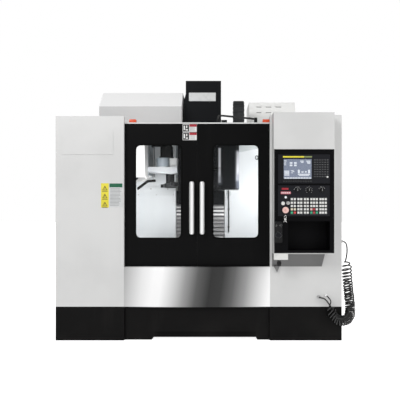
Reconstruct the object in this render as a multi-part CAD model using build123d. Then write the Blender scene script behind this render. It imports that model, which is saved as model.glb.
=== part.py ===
from build123d import *
import math
import os

# Vertical machining centre in a full enclosure, 850 class.
# X runs to the operator's right, Y runs to the rear, Z runs up.
# The origin lies on the floor under the middle of the machine. All sizes are in millimetres.

# Overall
MACHINE_WIDTH = 2505.0
MACHINE_DEPTH = 2280.0
CENTRE_X = -15.0            # middle of the doors and of the work area
SHEET = 3.0                 # enclosure sheet

# Front of the enclosure
FRONT_Y = -910.0            # face of both cabinets
PAN_DEPTH = 45.0            # folded edge of a front panel
SKIRT_HEIGHT = 296.0
LEFT_TOP = 1965.0
RIGHT_TOP = 1975.0
OPENING_WIDTH = 1280.0      # between the two cabinets
SIDE_WALL_DEPTH = 20.0
REAR_WALL_Y = 260.0         # back of the splash guard
REAR_WALL_DEPTH = 25.0
APRON_TOP = 644.0
APRON_BOW = 26.0
APRON_SHEET = 2.0

# Doors
DOOR_GAP = 5.0
DOOR_DEPTH = 40.0
DOOR_TOP = 1906.0
DOOR_SEAM = 3.0
DOOR_LAP = 16.0
WINDOW_WIDTH = 406.0
WINDOW_BOTTOM = 893.0
WINDOW_TOP = 1719.0
WINDOW_RADIUS = 44.0
WINDOW_FROM_SEAM = 137.0
PANE = 8.0
PANE_LAP = 16.0
HANDLE_DIAMETER = 44.0
HANDLE_LENGTH = 465.0
HANDLE_Z = 1160.0
HANDLE_FROM_SEAM = 44.0
HANDLE_REACH = 84.0
RAIL_DROP = 46.0
ROLLER_DIAMETER = 30.0

# Axes
SPINDLE_Y = -290.0
TABLE_TOP = 810.0
TABLE_LENGTH = 1000.0
TABLE_WIDTH = 500.0
TABLE_THICKNESS = 90.0
SLOT_PITCH = 90.0
SLOT_WIDTH = 18.0
SLOT_DEPTH = 30.0
SLOT_FOOT = 30.0
SLIDE_CLEARANCE = 0.05
WAY_WIDTH = 60.0
WAY_HEIGHT = 50.0
X_WAY_SPAN = 360.0          # between the middles of the two X ways
X_WAY_LENGTH = 1120.0
Y_WAY_SPAN = 560.0
Z_WAY_SPAN = 360.0
SCREW_DIAMETER = 40.0
SCREW_CLEARANCE = 0.06
MOTOR_SIDE = 140.0
MOTOR_LENGTH = 190.0

# Castings
BED_WIDTH = 900.0
BED_FLOOR = 45.0
BED_TOP = 470.0
SADDLE_BASE = 90.0
COLUMN_FRONT = 320.0
COLUMN_BACK = 920.0
COLUMN_WIDTH = 700.0
COLUMN_TOP_WIDTH = 560.0
COLUMN_TOP = 2120.0
COLUMN_SHOULDER = 730.0      # where the straight foot ends and the taper starts
COLUMN_WALL = 45.0

# Head
NOSE_Z = 1410.0
NOSE_DIAMETER = 128.0
HEAD_WIDTH = 240.0
HEAD_BOTTOM = 1470.0
HEAD_TOP = 1960.0
HEAD_SLIDE_BOTTOM = 1345.0
HEAD_SLIDE_TOP = 1985.0
COVER_FRONT = -520.0
COVER_BACK = -60.0
COVER_TOP = 2360.0
COVER_LEFT = -150.0
COVER_RIGHT = 200.0
Z_COVER_WIDTH = 514.0
Z_COVER_TOP = 1196.0
Z_COVER_BOTTOM = 620.0
FOLD_PITCH = 40.0

# Tool changer
POT_COUNT = 24
POT_RING = 306.0
POT_DIAMETER = 74.0
POT_LENGTH = 110.0
POT_X = -580.0
PIVOT_OFFSET = 50.0
ARM_THICKNESS = 34.0
ARM_GAP = 8.0
ARM_PARK = 75.0             # degrees back from the line between pot and spindle

# Operator panel
BOX_FRONT = -1108.0
BOX_LEFT = 637.0
BOX_RIGHT = 1149.0
BOX_TOP = 1966.0
PANEL_TOP = 1654.0
PANEL_BOTTOM = 777.0
LIP_HEIGHT = 26.0

# Rear
CABINET_LEFT = 533.0
CABINET_RIGHT = 1062.0
CABINET_FRONT = 640.0
CABINET_TOP = 2369.0

LEFT_EDGE = -MACHINE_WIDTH / 2
RIGHT_EDGE = MACHINE_WIDTH / 2
BACK_Y = MACHINE_DEPTH / 2
OPENING_LEFT = CENTRE_X - OPENING_WIDTH / 2
OPENING_RIGHT = CENTRE_X + OPENING_WIDTH / 2
DOOR_FRONT = FRONT_Y + PAN_DEPTH + DOOR_GAP
DOOR_BACK = DOOR_FRONT + DOOR_DEPTH
DOOR_BOTTOM = APRON_TOP - 4


def span(x, y, z):
    """Box between the two ends given on each axis."""
    size = (x[1] - x[0], y[1] - y[0], z[1] - z[0])
    middle = ((x[0] + x[1]) / 2, (y[0] + y[1]) / 2, (z[0] + z[1]) / 2)
    return Pos(*middle) * Box(*size)


def front_profile(points, y):
    """Outline drawn as seen from the front, in X and Z, given depth between two Y values."""
    return Pos(0, y[0], 0) * extrude(
        Plane.XZ * Polygon(*points, align=None), y[1] - y[0], dir=(0, 1, 0),
    )


def side_profile(points, x):
    """Outline drawn as seen from the right, in Y and Z, given width between two X values."""
    return Pos(x[0], 0, 0) * extrude(
        Plane.YZ * Polygon(*points, align=None), x[1] - x[0], dir=(1, 0, 0),
    )


def plan_profile(points, z):
    """Outline drawn from above, in X and Y, given height between two Z values."""
    return Pos(0, 0, z[0]) * extrude(
        Plane.XY * Polygon(*points, align=None), z[1] - z[0], dir=(0, 0, 1),
    )


def pan(x, y, z, open_side):
    """Folded sheet tray that fills a box and is open on one side."""
    ends = {"x": list(x), "y": list(y), "z": list(z)}
    for axis, pair in ends.items():
        low = pair[0] + (0 if open_side == "-" + axis else SHEET)
        high = pair[1] - (0 if open_side == "+" + axis else SHEET)
        ends[axis] = (
            low - (1 if open_side == "-" + axis else 0),
            high + (1 if open_side == "+" + axis else 0),
        )
    return span(x, y, z) - span(ends["x"], ends["y"], ends["z"])


def rod(axis, start, length, diameter):
    """Round bar from a start point along X, Y or Z."""
    turned = {"x": Rot(0, 90, 0), "y": Rot(-90, 0, 0), "z": Rot(0, 0, 0)}[axis]
    return Pos(*start) * turned * Pos(0, 0, length / 2) * Cylinder(diameter / 2, length)


def rounded_window(x, y, z, radius):
    """Cutter with rounded corners through a sheet that faces the front."""
    outline = Plane.XZ * Pos((x[0] + x[1]) / 2, (z[0] + z[1]) / 2) * RectangleRounded(
        x[1] - x[0], z[1] - z[0], radius
    )
    return Pos(0, y[1], 0) * extrude(outline, y[1] - y[0])


def servo(axis, face, side=MOTOR_SIDE, length=MOTOR_LENGTH):
    """Servo motor: square flange against its seat, body with a round pilot end and an encoder cap."""
    flange = Pos(0, 0, 6) * Box(side, side, 12)
    body = Pos(0, 0, 12 + length / 2) * extrude(
        RectangleRounded(side - 12, side - 12, 18), length / 2, both=True,
    )
    cap = Pos(0, 0, 12 + length + 25) * Cylinder(side * 0.38, 50)
    turned = {
        "-y": Rot(90, 0, 0), "+y": Rot(-90, 0, 0), "+z": Rot(0, 0, 0), "+x": Rot(0, 90, 0),
    }[axis]
    return Pos(*face) * turned * (flange + body + cap)


# Heights that stack up from the floor
BED_WAY_TOP = BED_TOP + WAY_HEIGHT
SADDLE_TOP = BED_WAY_TOP + SLIDE_CLEARANCE + SADDLE_BASE
X_WAY_TOP = SADDLE_TOP + WAY_HEIGHT
TABLE_SEAT = X_WAY_TOP + SLIDE_CLEARANCE
SLAB_BOTTOM = TABLE_TOP - TABLE_THICKNESS
Z_WAY_FACE = COLUMN_FRONT - WAY_HEIGHT
HEAD_SEAT = Z_WAY_FACE - SLIDE_CLEARANCE
SCREW_BORE = SCREW_DIAMETER + 2 * SCREW_CLEARANCE
NUT_SIDE = 100.0
WAY_GRIP = 28.0             # side cheek that guides a slide on its ways
TROUGH_WIDTH = 200.0
TROUGH_DEPTH = 90.0
Y_SCREW_Z = BED_TOP - 20.0
X_SCREW_Z = SADDLE_TOP + 56.0
Z_SCREW_Y = COLUMN_FRONT + 25.0
BED_FRONT = -770.0
BEARING = 40.0
JOURNAL_RUN = 30.0
GROOVE_PITCH = 60.0
GROOVE_RADIUS = 4.0

# Screw spans: bearing block to bearing block
Y_SCREW_START = BED_FRONT + 20.0
Y_SCREW_END = 190.0
Z_SCREW_START = 700.0


def bed():
    """Bed casting: side beams on pads, trough for the screw, two ways, seat for the column."""
    half = BED_WIDTH / 2
    flank = 60.0
    section = [
        (CENTRE_X - half, BED_FLOOR), (CENTRE_X + half, BED_FLOOR),
        (CENTRE_X + half, BED_TOP - flank), (CENTRE_X + half - flank, BED_TOP),
        (CENTRE_X - half + flank, BED_TOP), (CENTRE_X - half, BED_TOP - flank),
    ]
    body = front_profile(section, (BED_FRONT, COLUMN_BACK))
    inner = half - 2 * flank
    body -= span(
        (CENTRE_X - inner, CENTRE_X + inner), (
            BED_FRONT + flank, COLUMN_BACK - flank,
        ), (0, BED_TOP - 2 * flank)
    )
    body -= span(
        (CENTRE_X - TROUGH_WIDTH / 2, CENTRE_X + TROUGH_WIDTH / 2),
        (Y_SCREW_START + BEARING, Y_SCREW_END - BEARING), (BED_TOP - TROUGH_DEPTH, BED_TOP + 1),
    )
    for side in (-1, 1):
        middle = CENTRE_X + side * Y_WAY_SPAN / 2
        body += span(
            (
                middle - WAY_WIDTH / 2, middle + WAY_WIDTH / 2,
            ), (BED_FRONT + 20, Y_SCREW_END), (BED_TOP, BED_WAY_TOP)
        )
    body -= rod("y", (CENTRE_X, BED_FRONT - 1, Y_SCREW_Z), Y_SCREW_END - BED_FRONT + 1, SCREW_BORE)
    return body


def column():
    """Column casting: tapered cored box with two ways, a screw slot and rear cut-outs."""
    base, top = COLUMN_WIDTH / 2, COLUMN_TOP_WIDTH / 2
    lean = 140.0
    outline = [
        (CENTRE_X - base, BED_TOP), (CENTRE_X + base, BED_TOP), (CENTRE_X + base, COLUMN_SHOULDER),
        (CENTRE_X + top, COLUMN_TOP), (CENTRE_X - top, COLUMN_TOP), (
            CENTRE_X - base, COLUMN_SHOULDER,
        ),
    ]
    wall = COLUMN_WALL
    hollow = [
        (CENTRE_X - base + wall, BED_TOP + wall), (CENTRE_X + base - wall, BED_TOP + wall),
        (CENTRE_X + base - wall, COLUMN_SHOULDER), (CENTRE_X + top - wall, COLUMN_TOP - wall),
        (CENTRE_X - top + wall, COLUMN_TOP - wall), (CENTRE_X - base + wall, COLUMN_SHOULDER),
    ]
    flank = [
        (COLUMN_FRONT, BED_TOP), (COLUMN_BACK, BED_TOP), (COLUMN_BACK - lean, COLUMN_TOP),
        (COLUMN_FRONT, COLUMN_TOP),
    ]
    reach = (CENTRE_X - COLUMN_WIDTH, CENTRE_X + COLUMN_WIDTH)
    shell = front_profile(outline, (COLUMN_FRONT, COLUMN_BACK)) & side_profile(flank, reach)
    core = front_profile(hollow, (COLUMN_FRONT + wall, COLUMN_BACK - lean - wall))
    shell -= core
    for level in (860.0, 1280.0, 1700.0):
        opening = Pos(CENTRE_X, COLUMN_BACK, level) * Rot(90, 0, 0) * extrude(
            RectangleRounded(240, 260, 60), 200, both=True,
        )
        shell -= opening
    for side in (-1, 1):
        middle = CENTRE_X + side * Z_WAY_SPAN / 2
        shell += span(
            (
                middle - WAY_WIDTH / 2, middle + WAY_WIDTH / 2,
            ), (Z_WAY_FACE, COLUMN_FRONT), (BED_TOP + 90, COLUMN_TOP - 20)
        )
    shell -= span(
        (CENTRE_X - TROUGH_WIDTH / 2, CENTRE_X + TROUGH_WIDTH / 2),
        (Z_WAY_FACE - 1, COLUMN_FRONT + wall + 60), (Z_SCREW_START, COLUMN_TOP - wall - 30),
    )
    shell -= rod(
        "z", (CENTRE_X, Z_SCREW_Y, Z_SCREW_START - 60), COLUMN_TOP - Z_SCREW_START + 61,
        SCREW_BORE,
    )
    return shell


def leveling_feet():
    """Six jacking screws with round pads under the bed."""
    feet = []
    for side in (-1, 1):
        for y in (BED_FRONT + 60, (BED_FRONT + COLUMN_BACK) / 2, COLUMN_BACK - 60):
            x = CENTRE_X + side * (BED_WIDTH / 2 - 60)
            pad = rod("z", (x, y, 0), 18, 110) + rod("z", (x, y, 18), BED_FLOOR - 18, 36)
            feet.append(fillet(pad.edges().sort_by(Axis.Z)[0], 2))
    return Compound(feet)


def ball_screw(axis, start, length):
    """Ball screw: plain journals at both ends and rounded grooves along the middle."""
    shaft = Cylinder(SCREW_DIAMETER / 2, length, align=(Align.CENTER, Align.CENTER, Align.MIN))
    plain = JOURNAL_RUN + BEARING
    count = int((length - 2 * plain) / GROOVE_PITCH)
    groove = Torus(SCREW_DIAMETER / 2 + GROOVE_RADIUS / 2, GROOVE_RADIUS)
    shaft -= [Pos(0, 0, plain + GROOVE_PITCH * (k + 0.5)) * groove for k in range(count)]
    turned = {"x": Rot(0, 90, 0), "y": Rot(-90, 0, 0), "z": Rot(0, 0, 0)}[axis]
    return Pos(*start) * turned * shaft


def x_screw():
    """Screw of the X axis, in the bearing blocks of the saddle."""
    start = CENTRE_X - X_WAY_LENGTH / 2 + 5
    return ball_screw("x", (start, SPINDLE_Y, X_SCREW_Z), X_WAY_LENGTH - 10)


def y_screw():
    """Screw of the Y axis, in the end walls of the bed trough."""
    return ball_screw("y", (CENTRE_X, BED_FRONT + 5, Y_SCREW_Z), Y_SCREW_END - BED_FRONT - 8)


def z_screw():
    """Screw of the Z axis, behind the slot in the column face."""
    start = Z_SCREW_START - BEARING
    return ball_screw("z", (CENTRE_X, Z_SCREW_Y, start), COLUMN_TOP - 2 - start)


def servo_motors():
    """Y motor on the front of the bed and Z motor on the column."""
    y_motor = servo("-y", (CENTRE_X, BED_FRONT, Y_SCREW_Z - 40), side=80.0, length=50.0)
    z_motor = servo("+z", (CENTRE_X, Z_SCREW_Y, COLUMN_TOP))
    return Compound([y_motor, z_motor])


def saddle():
    """Saddle: cross slide with cheeks on the Y ways, X ways and blocks for the X screw."""
    low = BED_WAY_TOP + SLIDE_CLEARANCE
    half = Y_WAY_SPAN / 2 + WAY_WIDTH / 2
    depth = (SPINDLE_Y - 230, SPINDLE_Y + 230)
    section = [
        (CENTRE_X - half - WAY_GRIP, BED_TOP + 14), (
            CENTRE_X - half - SLIDE_CLEARANCE, BED_TOP + 14,
        ),
        (CENTRE_X - half - SLIDE_CLEARANCE, low), (CENTRE_X + half + SLIDE_CLEARANCE, low),
        (
            CENTRE_X + half + SLIDE_CLEARANCE, BED_TOP + 14,
        ), (CENTRE_X + half + WAY_GRIP, BED_TOP + 14),
        (CENTRE_X + X_WAY_LENGTH / 2, SADDLE_TOP - 40), (CENTRE_X + X_WAY_LENGTH / 2, SADDLE_TOP),
        (CENTRE_X - X_WAY_LENGTH / 2, SADDLE_TOP), (CENTRE_X - X_WAY_LENGTH / 2, SADDLE_TOP - 40),
    ]
    body = front_profile(section, depth)
    ends = (CENTRE_X - X_WAY_LENGTH / 2, CENTRE_X + X_WAY_LENGTH / 2)
    for side in (-1, 1):
        middle = SPINDLE_Y + side * X_WAY_SPAN / 2
        body += span(
            ends, (middle - WAY_WIDTH / 2, middle + WAY_WIDTH / 2), (SADDLE_TOP, X_WAY_TOP),
        )
    for x in (ends[0], ends[1] - BEARING):
        body += span(
            (x, x + BEARING), (SPINDLE_Y - NUT_SIDE / 2, SPINDLE_Y + NUT_SIDE / 2),
            (SADDLE_TOP, X_SCREW_Z + 40),
        )
    body -= rod("x", (ends[0] - 1, SPINDLE_Y, X_SCREW_Z), X_WAY_LENGTH + 2, SCREW_BORE)
    nut = span(
        (CENTRE_X - NUT_SIDE / 2, CENTRE_X + NUT_SIDE / 2), (SPINDLE_Y - 60, SPINDLE_Y + 60),
        (Y_SCREW_Z - NUT_SIDE / 2, low),
    )
    nut -= rod("y", (CENTRE_X, SPINDLE_Y - 61, Y_SCREW_Z), 122, SCREW_BORE)
    return body + nut


def x_servo():
    """X motor on the right end of the saddle."""
    face = (CENTRE_X + X_WAY_LENGTH / 2, SPINDLE_Y, X_SCREW_Z - 34)
    return servo("+x", face, side=78.0, length=120.0)


def table():
    """Work table: slab with T-slots, pads and cheeks on the X ways, and the nut of the X screw."""
    ends = (CENTRE_X - TABLE_LENGTH / 2, CENTRE_X + TABLE_LENGTH / 2)
    body = span(
        ends, (SPINDLE_Y - TABLE_WIDTH / 2, SPINDLE_Y + TABLE_WIDTH / 2),
        (SLAB_BOTTOM, TABLE_TOP),
    )
    for side in (-1, 1):
        near = SPINDLE_Y + side * (X_WAY_SPAN / 2 - WAY_WIDTH / 2)
        far = SPINDLE_Y + side * (X_WAY_SPAN / 2 + WAY_WIDTH / 2 + SLIDE_CLEARANCE)
        edge = SPINDLE_Y + side * (X_WAY_SPAN / 2 + WAY_WIDTH / 2 + WAY_GRIP)
        pads = (min(near, edge), max(near, edge))
        cheeks = (min(far, edge), max(far, edge))
        body += span(ends, pads, (TABLE_SEAT, SLAB_BOTTOM))
        body += span(ends, cheeks, (SADDLE_TOP + 12, TABLE_SEAT))
    for k in range(-2, 3):
        y = SPINDLE_Y + k * SLOT_PITCH
        body -= span(
            (ends[0] - 1, ends[1] + 1), (y - SLOT_WIDTH / 2, y + SLOT_WIDTH / 2),
            (TABLE_TOP - SLOT_DEPTH, TABLE_TOP + 1),
        )
        body -= span(
            (ends[0] - 1, ends[1] + 1), (y - SLOT_FOOT / 2, y + SLOT_FOOT / 2),
            (TABLE_TOP - SLOT_DEPTH - 12, TABLE_TOP - SLOT_DEPTH + 2),
        )
    nut = span(
        (CENTRE_X - NUT_SIDE / 2, CENTRE_X + NUT_SIDE / 2), (
            SPINDLE_Y - NUT_SIDE / 2, SPINDLE_Y + NUT_SIDE / 2,
        ),
        (X_SCREW_Z - NUT_SIDE / 2, SLAB_BOTTOM),
    )
    nut -= rod("x", (CENTRE_X - NUT_SIDE, SPINDLE_Y, X_SCREW_Z), 2 * NUT_SIDE, SCREW_BORE)
    return body + nut


COVER_SHEET = 3.0
END_COVER = 255.0


def table_covers():
    """Two folded covers that ride with the table and keep chips off the X ways."""
    covers = []
    y = (SPINDLE_Y - TABLE_WIDTH / 2, SPINDLE_Y + TABLE_WIDTH / 2)
    top = TABLE_TOP - 30
    floor = SADDLE_TOP + 12
    for side in (-1, 1):
        root = CENTRE_X + side * TABLE_LENGTH / 2
        tip = root + side * END_COVER
        x = (min(root, tip), max(root, tip))
        roof = [
            (y[0], floor), (y[0] + COVER_SHEET, floor), (
                y[0] + COVER_SHEET, top - 30 - COVER_SHEET,
            ),
            (SPINDLE_Y, top - COVER_SHEET), (
                y[1] - COVER_SHEET, top - 30 - COVER_SHEET,
            ), (y[1] - COVER_SHEET, floor),
            (y[1], floor), (y[1], top - 30), (SPINDLE_Y, top), (y[0], top - 30),
        ]
        covers.append(side_profile(roof, x))
    return Compound(covers)


HEAD_SLIDE_HALF = 235.0
HEAD_SLIDE_FRONT = 150.0
CARTRIDGE_DIAMETER = 200.0
SHAFT_DIAMETER = 90.0
SHAFT_CLEARANCE = 0.06


def spindle_head():
    """Head casting: slide plate with cheeks, ribbed arm, spindle housing and screw nut."""
    half = HEAD_WIDTH / 2
    front = SPINDLE_Y - CARTRIDGE_DIAMETER / 2 - 20
    arm = [
        (
            HEAD_SLIDE_FRONT, HEAD_SLIDE_BOTTOM + 95,
        ), (SPINDLE_Y + 140, HEAD_BOTTOM), (front, HEAD_BOTTOM),
        (front, HEAD_TOP - 60), (front + 60, HEAD_TOP), (HEAD_SLIDE_FRONT, HEAD_TOP),
    ]
    body = side_profile(arm, (CENTRE_X - half, CENTRE_X + half))
    for side in (-1, 1):
        pocket = [
            (HEAD_SLIDE_FRONT - 40, HEAD_SLIDE_BOTTOM + 190), (SPINDLE_Y + 170, HEAD_BOTTOM + 60),
            (SPINDLE_Y + 170, HEAD_TOP - 70), (HEAD_SLIDE_FRONT - 40, HEAD_TOP - 70),
        ]
        near = CENTRE_X + side * (half - 22)
        far = CENTRE_X + side * (half + 1)
        body -= side_profile(pocket, (min(near, far), max(near, far)))
    body += span(
        (CENTRE_X - HEAD_SLIDE_HALF, CENTRE_X + HEAD_SLIDE_HALF), (HEAD_SLIDE_FRONT, HEAD_SEAT),
        (HEAD_SLIDE_BOTTOM, HEAD_SLIDE_TOP),
    )
    way_half = Z_WAY_SPAN / 2 + WAY_WIDTH / 2 + SLIDE_CLEARANCE
    for side in (-1, 1):
        near = CENTRE_X + side * way_half
        far = CENTRE_X + side * HEAD_SLIDE_HALF
        body += span(
            (min(near, far), max(near, far)), (HEAD_SEAT, COLUMN_FRONT - 12),
            (HEAD_SLIDE_BOTTOM, HEAD_SLIDE_TOP),
        )
    body += rod(
        "z", (CENTRE_X, SPINDLE_Y, NOSE_Z + 22), HEAD_BOTTOM - NOSE_Z - 22,
        CARTRIDGE_DIAMETER,
    )
    body -= rod(
        "z", (CENTRE_X, SPINDLE_Y, NOSE_Z), HEAD_TOP - NOSE_Z + 1,
        SHAFT_DIAMETER + 2 * SHAFT_CLEARANCE,
    )
    middle = (HEAD_SLIDE_BOTTOM + HEAD_SLIDE_TOP) / 2
    nut = span(
        (
            CENTRE_X - NUT_SIDE / 2, CENTRE_X + NUT_SIDE / 2,
        ), (HEAD_SEAT, Z_SCREW_Y + 40), (middle - 70, middle + 70)
    )
    nut -= rod("z", (CENTRE_X, Z_SCREW_Y, middle - 71), 142, SCREW_BORE)
    return body + nut


def spindle():
    """Spindle: driven shaft, nose flange with two drive keys and a steep taper socket."""
    shaft = rod("z", (CENTRE_X, SPINDLE_Y, NOSE_Z + 21), HEAD_TOP - NOSE_Z - 40, SHAFT_DIAMETER)
    shaft += rod("z", (CENTRE_X, SPINDLE_Y, NOSE_Z), 21, NOSE_DIAMETER)
    socket = Pos(CENTRE_X, SPINDLE_Y, NOSE_Z + 34) * Rot(180, 0, 0) * Cone(12.7, 22.2, 68)
    shaft -= socket
    for side in (-1, 1):
        shaft -= span(
            (
                CENTRE_X + side * 50 - 9, CENTRE_X + side * 50 + 9,
            ), (SPINDLE_Y - 8, SPINDLE_Y + 8), (NOSE_Z - 1, NOSE_Z + 5)
        )
    return shaft


SIDE_BOX_LEFT = 171.0
SIDE_BOX_RIGHT = 372.0
SIDE_BOX_BOTTOM = 1338.0
SIDE_BOX_TOP = 1955.0
COVER_BOTTOM = 1540.0
SIDE_BOX_FRONT = -500.0
SIDE_BOX_BACK = -200.0
SIDE_BOX_CHAMFER = 31.0
COVER_STEP_LOW = 2178.0
COVER_STEP_HIGH = 2235.0
COVER_STEP = 17.0


def head_cover():
    """Spindle motor cover, stepped on the left, with the valve box on its right side."""
    left, right, step = COVER_LEFT, COVER_RIGHT, COVER_STEP
    outline = [
        (left, COVER_BOTTOM), (right, COVER_BOTTOM), (right, COVER_TOP), (left + step, COVER_TOP),
        (left + step, COVER_STEP_HIGH), (left, COVER_STEP_LOW),
    ]
    inside = [
        (left + SHEET, COVER_BOTTOM - 1), (right - SHEET, COVER_BOTTOM - 1), (
            right - SHEET, COVER_TOP - SHEET,
        ),
        (
            left + step + SHEET, COVER_TOP - SHEET,
        ), (left + step + SHEET, COVER_STEP_HIGH), (left + SHEET, COVER_STEP_LOW),
    ]
    cover = front_profile(outline, (COVER_FRONT, COVER_BACK)) - front_profile(
        inside, (COVER_FRONT + SHEET, COVER_BACK - SHEET)
    )
    half = HEAD_WIDTH / 2 + 2
    cover -= span(
        (CENTRE_X - half, CENTRE_X + half), (COVER_BACK - 20, COVER_BACK + 1),
        (COVER_BOTTOM - 1, HEAD_TOP + 4),
    )
    face, edge = SIDE_BOX_FRONT, SIDE_BOX_CHAMFER
    upper = [
        (right, SIDE_BOX_BACK), (SIDE_BOX_RIGHT, SIDE_BOX_BACK), (SIDE_BOX_RIGHT, face + edge),
        (SIDE_BOX_RIGHT - edge, face), (SIDE_BOX_LEFT + edge, face), (right, face + 2),
    ]
    cover += plan_profile(upper, (COVER_BOTTOM, SIDE_BOX_TOP))
    lower = [
        (SIDE_BOX_LEFT, SIDE_BOX_BACK), (SIDE_BOX_RIGHT, SIDE_BOX_BACK), (SIDE_BOX_RIGHT, face + edge),
        (SIDE_BOX_RIGHT - edge, face), (SIDE_BOX_LEFT + edge, face), (SIDE_BOX_LEFT, face + edge),
    ]
    cover += plan_profile(lower, (SIDE_BOX_BOTTOM, COVER_BOTTOM))
    lug_y = (-300, -260)
    lug_z = (COVER_BOTTOM, COVER_BOTTOM + 60)
    lug = span((CENTRE_X + HEAD_WIDTH / 2, right - SHEET), lug_y, lug_z)
    left_lug = span((left + SHEET, CENTRE_X - HEAD_WIDTH / 2), lug_y, lug_z)
    return cover + lug + left_lug


Z_COVER_FRONT = 222.0


FOLD_LIP = 14.0
FOLD_SKIN = 6.0
SEAT_GAP = 0.3


def z_apron():
    """Flat apron under the head slide that carries the top of the folding cover."""
    half = Z_COVER_WIDTH / 2
    plate = span(
        (CENTRE_X - half, CENTRE_X + half), (Z_COVER_FRONT, Z_COVER_FRONT + 8),
        (Z_COVER_TOP + SEAT_GAP, HEAD_SLIDE_BOTTOM),
    )
    plate += span(
        (CENTRE_X - half, CENTRE_X + half), (Z_COVER_FRONT, Z_COVER_FRONT + FOLD_LIP + FOLD_SKIN),
        (Z_COVER_TOP + SEAT_GAP, Z_COVER_TOP + 8),
    )
    return plate + span(
        (CENTRE_X - half + 24, CENTRE_X + half - 24), (Z_COVER_FRONT, HEAD_SEAT - 2),
        (HEAD_SLIDE_BOTTOM - 12, HEAD_SLIDE_BOTTOM),
    )


def z_cover():
    """Folding way cover of the Z axis: steel strips on cloth folds, as one zigzag sheet."""
    count = round((Z_COVER_TOP - Z_COVER_BOTTOM) / FOLD_PITCH)
    pitch = (Z_COVER_TOP - Z_COVER_BOTTOM) / count
    front = []
    for k in range(count):
        z = Z_COVER_BOTTOM + k * pitch
        front += [(Z_COVER_FRONT + FOLD_LIP, z), (Z_COVER_FRONT, z + 3), (Z_COVER_FRONT, z + 12)]
    front.append((Z_COVER_FRONT + FOLD_LIP, Z_COVER_TOP))
    rear = Z_COVER_FRONT + FOLD_LIP + FOLD_SKIN
    back = [(rear, Z_COVER_TOP), (rear, Z_COVER_BOTTOM)]
    return side_profile(front + back, (CENTRE_X - Z_COVER_WIDTH / 2, CENTRE_X + Z_COVER_WIDTH / 2))


# Tool changer: the arm turns midway between the spindle and the tipped pot
ARM_X = (CENTRE_X + POT_X) / 2
ARM_RADIUS = (CENTRE_X - POT_X) / 2
PIVOT_Z = NOSE_Z + POT_LENGTH
RING_BOTTOM_Z = PIVOT_Z - PIVOT_OFFSET
DISC_Z = RING_BOTTOM_Z + POT_RING
PIVOT_X = POT_X - PIVOT_OFFSET
DISC_THICKNESS = 14.0
DISC_X = PIVOT_X + 12.0
DISC_RADIUS = DISC_Z - PIVOT_Z - 14.0
FRAME_X = POT_X + POT_DIAMETER / 2 + 5.0     # clear of a tipped pot
FRAME_PLATE = 30.0
HUB_DIAMETER = 90.0


PIN_DIAMETER = 10.0
EAR_GAP = 1.0
EAR_HALF = 14.0
POT_WALL = 13.0


def pot(index):
    """Tool pot with its mouth to the left and an ear on its pivot, turned to its place on the ring."""
    body = rod("x", (PIVOT_X - POT_LENGTH, SPINDLE_Y, RING_BOTTOM_Z), POT_LENGTH, POT_DIAMETER)
    body -= rod(
        "x", (PIVOT_X - POT_LENGTH - 1, SPINDLE_Y, RING_BOTTOM_Z), 70,
        POT_DIAMETER - 2 * POT_WALL,
    )
    body += span(
        (PIVOT_X - 22, PIVOT_X + 9), (
            SPINDLE_Y - EAR_HALF, SPINDLE_Y + EAR_HALF,
        ), (RING_BOTTOM_Z + 20, PIVOT_Z + 9)
    )
    body -= rod("y", (PIVOT_X, SPINDLE_Y - 30, PIVOT_Z), 60, PIN_DIAMETER + 2 * SHAFT_CLEARANCE)
    return body.rotate(ring_axis(), 360 / POT_COUNT * index)


def ring_axis():
    """Axis of the magazine disc."""
    return Axis((DISC_X, SPINDLE_Y, DISC_Z), (1, 0, 0))


def magazine_disc():
    """Disc that carries the pots: hub, lightening holes and two ears with a pin for each pot."""
    disc = rod("x", (DISC_X, SPINDLE_Y, DISC_Z), DISC_THICKNESS, 2 * DISC_RADIUS)
    hole = rod("x", (DISC_X - 1, SPINDLE_Y, DISC_Z - 150), DISC_THICKNESS + 2, 90)
    disc -= [hole.rotate(ring_axis(), 60 * k) for k in range(6)]
    inner, outer = EAR_HALF + EAR_GAP, EAR_HALF + EAR_GAP + 9
    bar = span(
        (PIVOT_X - 12, DISC_X), (SPINDLE_Y - outer, SPINDLE_Y + outer),
        (PIVOT_Z + 26, PIVOT_Z + 40),
    )
    left_ear = span(
        (PIVOT_X - 12, PIVOT_X + 11), (SPINDLE_Y - outer, SPINDLE_Y - inner),
        (PIVOT_Z - 9, PIVOT_Z + 40),
    )
    right_ear = span(
        (PIVOT_X - 12, PIVOT_X + 11), (SPINDLE_Y + inner, SPINDLE_Y + outer),
        (PIVOT_Z - 9, PIVOT_Z + 40),
    )
    pin = rod("y", (PIVOT_X, SPINDLE_Y - outer, PIVOT_Z), 2 * outer, PIN_DIAMETER)
    lug = bar + left_ear + right_ear + pin
    hub = rod(
        "x", (DISC_X - 20, SPINDLE_Y, DISC_Z), FRAME_X + FRAME_PLATE - DISC_X + 20,
        HUB_DIAMETER,
    )
    return disc + [lug.rotate(ring_axis(), 360 / POT_COUNT * k) for k in range(POT_COUNT)] + hub


def tool_pots():
    """The pots that stay level; the one at the bottom of the ring is a piece of its own."""
    return Compound([pot(k) for k in range(1, POT_COUNT)])


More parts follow.
